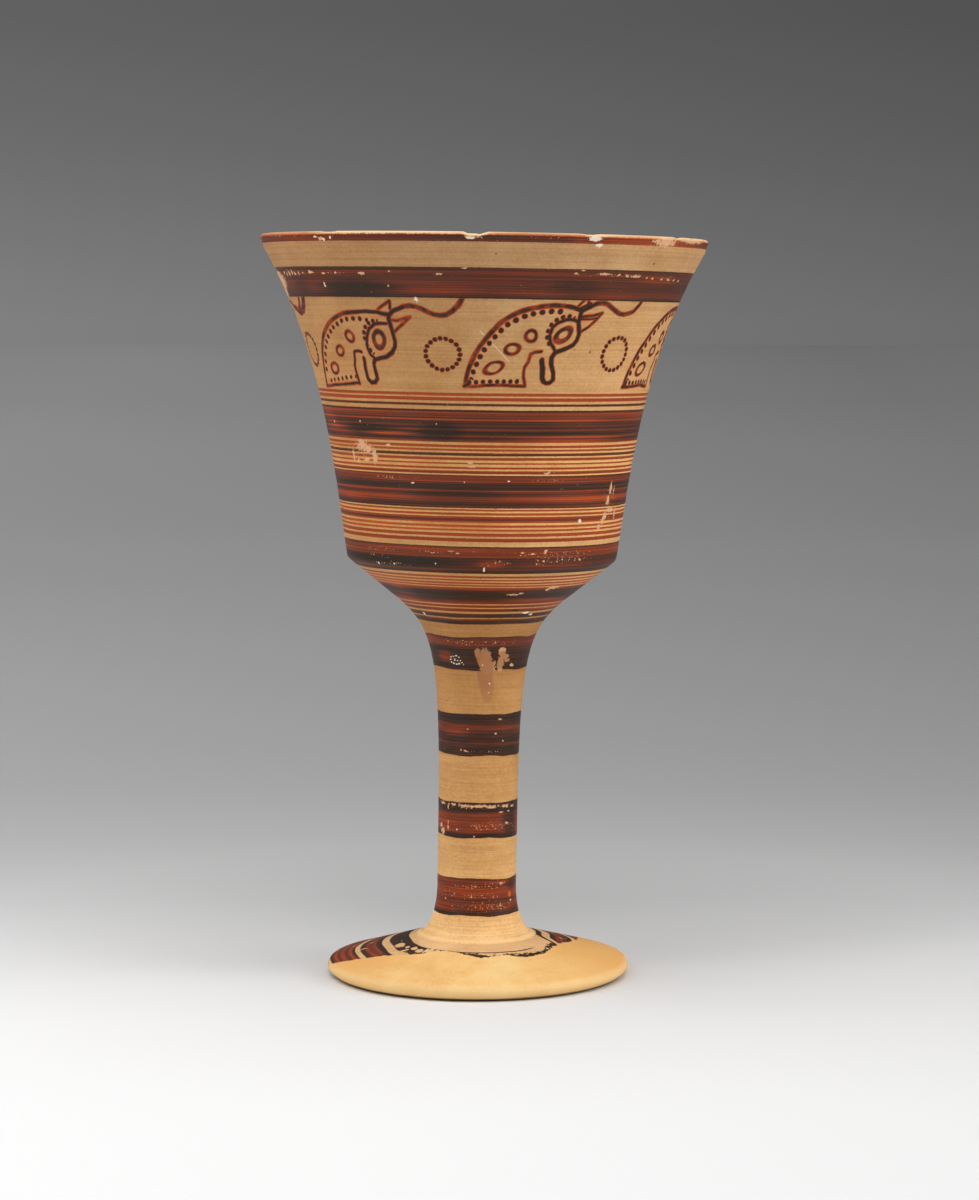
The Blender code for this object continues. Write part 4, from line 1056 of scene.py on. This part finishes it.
# The foot's top as thrown, with three painted rings, and the new clay that fills its broken-out front and
# right. byAngle holds for each angle in degrees the radius where the fill begins, how much further out
# than a true circle the rings are drawn, and how wide the paint left along the fill is, in mm. flakes are
# spots lost from the innermost ring at the left: angle, radius, half size in degrees and in mm.
foot = {
    "byAngle": [(-180, 50, 0, 0), (-85, 50, 0, 0), (-77, 48.6, 0, 0), (-70, 41, 0.2, 0),
                (-60, 34.8, 1.2, 0), (-46, 30.5, 2.4, 0), (-36, 28.4, 2.9, 0), (-30, 25.2, 3.0, 0.2),
                (-15, 25.4, 3.2, 0.8), (-11, 26.3, 3.3, 1.3), (3, 29.0, 3.4, 1.9), (9, 28.6, 3.5, 0.6),
                (18, 27.6, 3.6, 0.4), (24, 28.8, 3.7, 1.2), (32, 30.6, 3.8, 2.5), (44, 30.0, 3.2, 1.6),
                (50, 29.4, 2.9, 0.9), (65, 27.4, 1.4, 1.7), (71, 27.7, 0.3, 1.4), (77, 28.0, -4.0, 0.8),
                (84, 28.9, -6.5, 0), (90, 30.4, -7.0, 0), (118, 37.7, -6.0, 0), (134, 46, -4.0, 0),
                (140, 50, -3.0, 0), (180, 50, 0, 0)],
    "rings": [(48.6, 40.2, [0.95, 0.5, 0.4, 0.72, 0.38, 0.42, 0.75, 0.38, 0.45, 0.9]),
              (38.4, 31.2, [1.0, 0.9, 0.5, 0.46, 0.5, 0.5, 0.9, 1.0]),
              (28.4, 22.0, [0.95, 0.9, 0.95, 0.95, 0.95, 0.9])],
    "reach": 60.0, "shiftSpan": 10.0, "rimSpan": 4.0,            # the largest values that byAngle can hold
    "ringFrom": 50.0, "ringTo": 20.0, "ringSoft": 0.1, "innermost": (30.0, 29.4),
    "jaggedMm": 1.6, "fineMm": 0.8, "cloudMm": 12.0, "lineMm": 0.8, "lineRoundMm": 55.0,
    "brushRoundMm": 60.0, "waverMm": 8.0, "waverRoundMm": 20.0, "waver": 0.5, "fray": 0.15,
    "edgeSwing": 1.6, "fade": 0.06, "brushSwing": 0.45, "cloudSwing": 0.2,
    "chipMm": 3.8, "chipEdge": (0.655, 0.67), "chipLift": 0.15,
    "chipAngles": ((-26.0, -34.0), (-46.0, -38.0)),
    "flakeSwing": 0.9, "flakeEdge": (0.9, 1.05), "frontAngles": ((-24.0, -18.0), (150.0, 130.0)),
    "rimSwing": 1.8, "rimFade": 0.1, "rightRim": (26.3, 26.6), "rightRimAngles": (55.0, 62.0),
    "innerRim": 22.2, "innerRimSwing": 0.5, "innerRimEdge": (0.42, 0.3), "innerRimAngles": (50.0, 42.0),
    "toneShares": (0.12, 0.55, 0.33), "reliefShares": (0.5, 0.3, 0.3), "reliefDepth": 0.00012,
    "buff": [(0.38, "#DCA870"), (0.6, "#F2C48E")], "clayRoughness": 0.62, "paintRoughness": 0.46,
    "fill": [(0.38, "#F2BC72"), (0.5, "#FBCA81"), (0.62, "#FDD692")],
    "side": "#F5B768", "sideEdge": (0.95, 0.35), "sideShare": 0.8,
    # pale cream painted on the foot's edge face as light, and a dark line painted along its foot as contact
    # shadow
    "edge": "#FFDCA0", "litEdgeHeight": (5.2, 4.2), "litEdgeShare": 0.4,
    "paintedContactShadow": "#3A2A1C", "paintedContactShadowHeight": (1.1, 0.2),
    "flakes": [(-66.3, 27.0, 5.2, 1.5), (-54.7, 30.3, 4.5, 0.45), (-49.5, 30.3, 3.6, 0.45),
               (-56.2, 26.7, 2.0, 0.8), (-49.0, 26.4, 3.0, 1.1), (-42.1, 27.3, 3.4, 1.3),
               (-36.0, 26.2, 3.0, 0.9)],
}


def paintedFoot():
    material, tree, shader = newFinish("slip-painted terracotta foot with new clay fill", {
        "IOR": 1.5, "Specular IOR Level": 0.35})
    turned, ring, spot = placesOn(tree)
    angle = addNode(tree, "VectorMath.DOT_PRODUCT", [turned, (1, 0, 0)], "Value")
    radius = addNode(tree, "VectorMath.DOT_PRODUCT", [turned, (0, 0, 1)], "Value")
    jagged = grain(tree, spot, foot["jaggedMm"], 4.0, 0.65)
    fine = grain(tree, spot, foot["fineMm"], 3.0, 0.6)
    cloud = grain(tree, spot, foot["cloudMm"], 3.0, 0.55)
    lines = streaks(tree, ring, foot["lineRoundMm"], foot["lineMm"], 3.0, 0.6)

    span = foot["shiftSpan"]
    stops = [((at + 180) / 360, (reach / foot["reach"], shift / span / 2 + 0.5, rim / foot["rimSpan"]))
             for at, reach, shift, rim in foot["byAngle"]]
    packed = addNode(tree, "ValToRGB", [addNode(tree, "MapRange", [angle, -180.0, 180.0])], stops=stops)
    byAngle = addNode(tree, "SeparateColor", [packed]).node.outputs
    edge = addNode(tree, "Math.MULTIPLY_ADD", [jagged, 2 * foot["edgeSwing"], -foot["edgeSwing"]])
    edge = addNode(tree, "Math.MULTIPLY_ADD", [byAngle[0], foot["reach"], edge])
    shift = addNode(tree, "Math.MULTIPLY_ADD", [byAngle[1], 2 * span, -span])
    rim = addNode(tree, "Math.MULTIPLY", [byAngle[2], foot["rimSpan"]])
    pastEdge = addNode(tree, "Math.SUBTRACT", [radius, edge])
    filled = addNode(tree, "MapRange", [pastEdge, -foot["fade"], foot["fade"]])

    # rings of paint
    drawnRadius = addNode(tree, "Math.SUBTRACT", [radius, shift])
    waver = streaks(tree, ring, foot["waverRoundMm"], foot["waverMm"], 1.0)
    waver = addNode(tree, "Math.MULTIPLY_ADD", [waver, 2 * foot["waver"], -foot["waver"]])
    drawnRadius = addNode(tree, "Math.ADD", [drawnRadius, waver])
    fray = addNode(tree, "Math.MULTIPLY_ADD", [fine, 2 * foot["fray"], -foot["fray"]])
    drawnRadius = addNode(tree, "Math.ADD", [drawnRadius, fray])
    first, last = foot["ringFrom"], foot["ringTo"]
    soft, reach = foot["ringSoft"], first - last
    stops = [(0.0, (0, 0, 0))]
    for outer, inner, tones in foot["rings"]:
        stops.append(((first - outer - soft) / reach, (0, tones[0], 0)))
        stops += [((first - place) / reach, (1.0, tone, 0))
                  for place, tone in zip(np.linspace(outer, inner, len(tones)), tones)]
        stops.append(((first - inner + soft) / reach, (0, tones[-1], 0)))
    laid = addNode(tree, "ValToRGB", [addNode(tree, "MapRange", [drawnRadius, first, last])], stops=stops)
    parts = addNode(tree, "SeparateColor", [laid]).node.outputs

    # the innermost ring has lost large flakes at the left, and in front it is worn to its two edges
    innermost = addNode(tree, "MapRange", [drawnRadius, *foot["innermost"]])
    left, front = [[addNode(tree, "MapRange", [angle, *between]) for between in foot[name]]
                   for name in ("chipAngles", "frontAngles")]
    left = addNode(tree, "Math.MULTIPLY", left)
    front = addNode(tree, "Math.MULTIPLY", front)
    chipped = addNode(tree, "Math.MULTIPLY", [innermost, left])
    chipped = addNode(tree, "Math.MULTIPLY", [chipped, foot["chipLift"]])
    chipped = addNode(tree, "Math.ADD", [chipped, grain(tree, spot, foot["chipMm"], 3.0, 0.6)])
    whole = addNode(tree, "MapRange", [chipped, *foot["chipEdge"], 1.0, 0.0])
    ragged = addNode(tree, "Math.MULTIPLY_ADD", [jagged, 2 * foot["flakeSwing"], -foot["flakeSwing"]])
    for at, across, halfTurn, halfWide in foot["flakes"]:
        scale = (1 / halfTurn, 0, 1 / halfWide)
        away = (-at / halfTurn, 0, -across / halfWide)
        inside = addNode(tree, "VectorMath.MULTIPLY_ADD", [turned, scale, away])
        gap = addNode(tree, "VectorMath.LENGTH", [inside], "Value")
        gap = addNode(tree, "Math.ADD", [gap, ragged])
        whole = addNode(tree, "Math.MINIMUM", [whole, addNode(tree, "MapRange", [gap, *foot["flakeEdge"]])])
    outerRim = addNode(tree, "Math.SUBTRACT", [edge, radius])
    swung = addNode(tree, "Math.MULTIPLY_ADD", [jagged, 2 * foot["rimSwing"], -foot["rimSwing"]])
    outerRim = addNode(tree, "Math.ADD", [outerRim, swung])
    outerRim = addNode(tree, "Math.SUBTRACT", [outerRim, rim])
    outerRim = addNode(tree, "MapRange", [outerRim, foot["rimFade"], -foot["rimFade"]])
    rightRim = addNode(tree, "MapRange", [drawnRadius, *foot["rightRim"]])
    atRight = addNode(tree, "MapRange", [angle, *foot["rightRimAngles"]])
    rightRim = addNode(tree, "Math.MULTIPLY", [rightRim, atRight])
    innerRim = addNode(tree, "Math.ABSOLUTE", [addNode(tree, "Math.ADD", [drawnRadius, -foot["innerRim"]])])
    swung = addNode(tree, "Math.MULTIPLY_ADD", [jagged, 2 * foot["innerRimSwing"], -foot["innerRimSwing"]])
    innerRim = addNode(tree, "Math.ADD", [innerRim, swung])
    innerRim = addNode(tree, "MapRange", [innerRim, *foot["innerRimEdge"]])
    leftOfRight = addNode(tree, "MapRange", [angle, *foot["innerRimAngles"]])
    innerRim = addNode(tree, "Math.MULTIPLY", [innerRim, leftOfRight])
    rims = addNode(tree, "Math.MAXIMUM", [addNode(tree, "Math.MAXIMUM", [outerRim, rightRim]), innerRim])
    front = addNode(tree, "Math.MULTIPLY", [front, innermost])
    whole = addNode(tree, "Mix", {0: front, 2: whole, 3: rims})
    cover = addNode(tree, "Math.MULTIPLY", [parts[0], whole])
    cover = addNode(tree, "Math.MULTIPLY", [cover, addNode(tree, "MapRange", [filled, 0.0, 1.0, 1.0, 0.0])])
    brush = streaks(tree, ring, foot["brushRoundMm"], foot["lineMm"], 2.0, 0.6)
    thick = parts[1]
    for noise, swing in ((brush, foot["brushSwing"]), (cloud, foot["cloudSwing"])):
        swung = addNode(tree, "Math.MULTIPLY_ADD", [noise, 2 * swing, -swing])
        thick = addNode(tree, "Math.ADD", [thick, swung])

    # colour: the buff clay and the new fill, painted light on the foot's edge face, and a painted contact
    # shadow along the standing edge
    tone, relief = [sharesOf(tree, noises, foot[name]) for noises, name in (
        ((lines, cloud, fine), "toneShares"), ((lines, fine, jagged), "reliefShares"))]
    buff = addNode(tree, "ValToRGB", [tone], stops=foot["buff"])
    fill = addNode(tree, "ValToRGB", [tone], stops=foot["fill"])
    frontward = addNode(tree, "Math.COSINE", [addNode(tree, "Math.MULTIPLY", [angle, math.radians(1)])])
    atSide = addNode(tree, "MapRange", [frontward, *foot["sideEdge"], 0.0, foot["sideShare"]])
    fill = addNode(tree, "Mix", {0: atSide, 6: fill, 7: linear(foot["side"])}, 2, settings=colourMix)
    height = addNode(tree, "VectorMath.DOT_PRODUCT", [turned, (0, 1, 0)], "Value")
    # painted light: the foot's edge face, below its top crease, lightened towards pale cream
    paintedEdgeLight = addNode(tree, "MapRange", [height, *foot["litEdgeHeight"], 0.0, foot["litEdgeShare"]])
    fill = addNode(tree, "Mix", {0: paintedEdgeLight, 6: fill, 7: linear(foot["edge"])}, 2, settings=colourMix)
    slip = addNode(tree, "ValToRGB", [thick], stops=paint["colours"])
    colour = addNode(tree, "Mix", {0: filled, 6: buff, 7: fill}, 2, settings=colourMix)
    colour = addNode(tree, "Mix", {0: cover, 6: colour, 7: slip}, 2, settings=colourMix)
    # painted contact shadow: a dark line along the bottom of the standing edge
    paintedContactShadow = addNode(tree, "MapRange", [height, *foot["paintedContactShadowHeight"]])
    colour = addNode(tree, "Mix", {0: paintedContactShadow, 6: colour, 7: linear(foot["paintedContactShadow"])}, 2, settings=colourMix)
    tree.links.new(colour, shader.inputs["Base Color"])
    rough = addNode(tree, "MapRange", [cover, 0.0, 1.0, foot["clayRoughness"], foot["paintRoughness"]])
    tree.links.new(rough, shader.inputs["Roughness"])
    bump = addNode(tree, "Bump", {"Height": relief, "Strength": 1.0, "Distance": foot["reliefDepth"]})
    tree.links.new(bump, shader.inputs["Normal"])
    return material


# Inside the bowl: the slip left plain, with a brown band inside the lip and two lines under it
inside = {
    "bands": [(239.6, 229.0, 0.62), (224.0, 223.0, 0.45), (220.5, 219.6, 0.4)],   # top, bottom, thickness
    "fray": 0.2, "brushSwing": 0.3,
}


def bowlInside():
    material, tree, shader = newFinish("slip-coated thrown terracotta, inside", {
        "Roughness": 0.6, "IOR": 1.5, "Specular IOR Level": 0.4})
    turned, ring, spot = placesOn(tree)
    height = addNode(tree, "VectorMath.DOT_PRODUCT", [turned, (0, 1, 0)], "Value")
    angle = addNode(tree, "VectorMath.DOT_PRODUCT", [turned, (1, 0, 0)], "Value")
    body, fine, striation = clayColour(tree, ring, spot, angle, height)
    fray = addNode(tree, "Math.MULTIPLY_ADD", [fine, 2 * inside["fray"], -inside["fray"]])
    drawn = addNode(tree, "Math.ADD", [height, fray])
    cover = thick = None
    for upper, lower, tone in inside["bands"]:
        part = addNode(tree, "Math.COMPARE", [drawn, (upper + lower) / 2, (upper - lower) / 2])
        laid = addNode(tree, "Math.MULTIPLY", [part, tone])
        cover = part if cover is None else addNode(tree, "Math.MAXIMUM", [cover, part])
        thick = laid if thick is None else addNode(tree, "Math.MAXIMUM", [thick, laid])
    brush = streaks(tree, ring, paint["streakRoundMm"], paint["streakMm"], 2.0, 0.6)
    brush = addNode(tree, "Math.MULTIPLY_ADD", [brush, 2 * inside["brushSwing"], -inside["brushSwing"]])
    thick = addNode(tree, "Math.ADD", [thick, brush])
    slip = addNode(tree, "ValToRGB", [thick], stops=paint["colours"])
    colour = addNode(tree, "Mix", {0: cover, 6: body, 7: slip}, 2, settings=colourMix)
    tree.links.new(colour, shader.inputs["Base Color"])
    bump = addNode(tree, "Bump", {"Height": striation, "Strength": 1.0, "Distance": clay["reliefDepth"]})
    tree.links.new(bump, shader.inputs["Normal"])
    return material


# The underside: bare clay, wiped but not slipped, so it is mottled and dull
underside = {
    "wipeMm": 1.2, "wipeRoundMm": 40.0, "grainMm": 1.5, "toneShares": (0.5, 0.5), "reliefDepth": 0.00015,
    "tones": [(0.38, "#F2BC72"), (0.62, "#F2C48E")],
}


def bareUnderside():
    material, tree, shader = newFinish("bare thrown terracotta, underside", {
        "Roughness": 0.7, "IOR": 1.5, "Specular IOR Level": 0.35})
    ring, spot = placesOn(tree)[1:]
    wiped = streaks(tree, ring, underside["wipeRoundMm"], underside["wipeMm"], 3.0)
    mottled = grain(tree, spot, underside["grainMm"], 4.0)
    tone = sharesOf(tree, (wiped, mottled), underside["toneShares"])
    body = addNode(tree, "ValToRGB", [tone], stops=underside["tones"])
    tree.links.new(body, shader.inputs["Base Color"])
    bump = addNode(tree, "Bump", {"Height": tone, "Strength": 1.0, "Distance": underside["reliefDepth"]})
    tree.links.new(bump, shader.inputs["Normal"])
    return material


for finish in (bowlInside(), paintedTerracotta(), paintedFoot(), bareUnderside()):
    chalice.data.materials.append(finish)
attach(chalice, "root")
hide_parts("chalice")
print("finishes laid")


# Floor: a sweep of pale paper with painted light: painted greys, bright in front and falling off to a
# mid grey behind, a little lighter at the left. The greys go by the distance in metres from where the
# front lamp stands; beyond the lamps' reach the paper has a painted glow of its own, standing in for the
# room's other lamps.
stage = {
    "reach": 30.0, "corners": 128, "height": -0.0001, "lampFoot": (0.0, -1.0, 0.0),
    "tiltFrom": 3.8, "tiltOver": 0.09, "tilt": 0.18,
    "skyTiltOver": 0.16, "skyTilt": 0.19,
    "paper": [(0.80, 0.89), (0.94, 0.87), (0.976, 0.83), (1.016, 0.80), (1.059, 0.76), (1.105, 0.685),
              (1.156, 0.585), (1.271, 0.468), (1.41, 0.425), (1.58, 0.412), (2.2, 0.398), (3.9, 0.34),
              (30.0, 0.33)],
    "glow": [(1.45, 0.0), (1.58, 0.013), (1.8, 0.043), (2.084, 0.083), (2.47, 0.127), (3.025, 0.163),
             (3.893, 0.176), (5.44, 0.178), (8.96, 0.160), (18.5, 0.150), (30.0, 0.140)],
    # a painted shadow on the floor around and behind the foot, where the foot keeps light off it
    "dim": {"centre": (0.0, 0.11, 0.0), "reach": (0.15, 0.13), "share": 0.81, "fade": 1.2},
    "sky": [(0.0, "#777777"), (0.0525, "#656565"), (0.092, "#5A5A5A"), (0.3, "#606060")],
}


# a ramp over distances that spreads the near ones out
def byDistance(tree, away, greys):
    share = addNode(tree, "Math.SQRT", [addNode(tree, "Math.MULTIPLY", [away, 1 / stage["reach"]])])
    stops = [(math.sqrt(reach / stage["reach"]), (grey, grey, grey)) for reach, grey in greys]
    return addNode(tree, "ValToRGB", [share], stops=stops)


def makeFloor():
    bpy.ops.mesh.primitive_circle_add(vertices=stage["corners"], radius=stage["reach"], fill_type="NGON",
                                      location=(0, 0, stage["height"]))
    floor = bpy.context.object
    floor.name = "floor"
    material, tree, shader = newFinish("matt pale paper", {
        "Roughness": 0.9, "Specular IOR Level": 0.2, "Emission Strength": 1.0})
    place = addNode(tree, "NewGeometry", out="Position")
    away = addNode(tree, "VectorMath.DISTANCE", [place, stage["lampFoot"]], "Value")
    # painted light across the floor: lighter at the left, darker at the right
    across = addNode(tree, "VectorMath.DOT_PRODUCT", [place, (1, 0, 0)], "Value")
    slope = addNode(tree, "Math.DIVIDE", [across, addNode(tree, "Math.ADD", [away, stage["tiltFrom"]])])
    over, tilt = stage["tiltOver"], stage["tilt"]
    side = addNode(tree, "MapRange", [slope, -over, over, 1 + tilt, 1 - tilt])
    # painted shadow around the foot
    dim = stage["dim"]
    around = addNode(tree, "VectorMath.SUBTRACT", [place, dim["centre"]])
    wide, deep = dim["reach"]
    around = addNode(tree, "VectorMath.MULTIPLY", [around, (1 / wide, 1 / deep, 0)])
    around = addNode(tree, "VectorMath.LENGTH", [around], "Value")
    shade = addNode(tree, "MapRange", [around, 0.0, dim["fade"], dim["share"], 1.0])
    side = addNode(tree, "Math.MULTIPLY", [side, shade])
    # the greys are painted light falling off, and the glow is painted light of its own
    for greys, socket in ((stage["paper"], "Base Color"), (stage["glow"], "Emission Color")):
        grey = addNode(tree, "SeparateColor", [byDistance(tree, away, greys)])
        grey = addNode(tree, "Math.MULTIPLY", [grey, side])
        tree.links.new(addNode(tree, "CombineColor", [grey, grey, grey]), shader.inputs[socket])
    floor.data.materials.append(material)


# Lights: a large soft box overhead and a smaller one in front of it, and others at the sides, the right
# side's brighter and lower, so that the bowl's right half glows
lightsAim = (0, 0, 0.13)
lights = [
    {"name": "overBox", "place": (0.0, -0.05, 1.5), "size": 1.3, "watts": 8.8},
    {"name": "frontBox", "place": (0.1, -0.8, 1.4), "size": 1.0, "watts": 4.2},
    {"name": "rightLow", "place": (1.4, -0.3, 0.5), "size": 0.8, "watts": 5.1},
    {"name": "rightBox", "place": (1.1, -0.45, 0.9), "size": 0.9, "watts": 6.4},
    {"name": "leftBox", "place": (-0.8, -0.4, 1.2), "size": 0.8, "watts": 4.4},
    {"name": "leftLow", "place": (-1.3, -0.8, 0.35), "size": 0.7, "watts": 3.2},
    {"name": "backBox", "place": (-1.1, 0.5, 0.9), "size": 0.9, "watts": 3.6},
]


def makeLights():
    for light in lights:
        data = bpy.data.lights.new(light["name"], "AREA")
        data.size = light["size"]
        data.energy = light["watts"]
        lamp = bpy.data.objects.new(light["name"], data)
        lamp.location = light["place"]
        aim = Vector(lightsAim) - lamp.location
        lamp.rotation_euler = aim.to_track_quat("-Z", "Y").to_euler()
        bpy.context.scene.collection.objects.link(lamp)
    world = bpy.data.worlds.new("room")
    world.use_nodes = True
    tree = world.node_tree
    direction = addNode(tree, "TexCoord", out="Generated")
    upwards = addNode(tree, "VectorMath.DOT_PRODUCT", [direction, (0, 0, 1)], "Value")
    across = addNode(tree, "VectorMath.DOT_PRODUCT", [direction, (1, 0, 0)], "Value")
    sky = addNode(tree, "ValToRGB", [upwards], stops=stage["sky"])
    over, tilt = stage["skyTiltOver"], stage["skyTilt"]
    side = addNode(tree, "MapRange", [across, -over, over, 1 + tilt, 1 - tilt])
    tree.links.new(sky, tree.nodes["Background"].inputs["Color"])
    tree.links.new(side, tree.nodes["Background"].inputs["Strength"])
    bpy.context.scene.world = world
    bpy.context.scene.view_settings.view_transform = "Standard"


makeFloor()
makeLights()
print("stage lit")
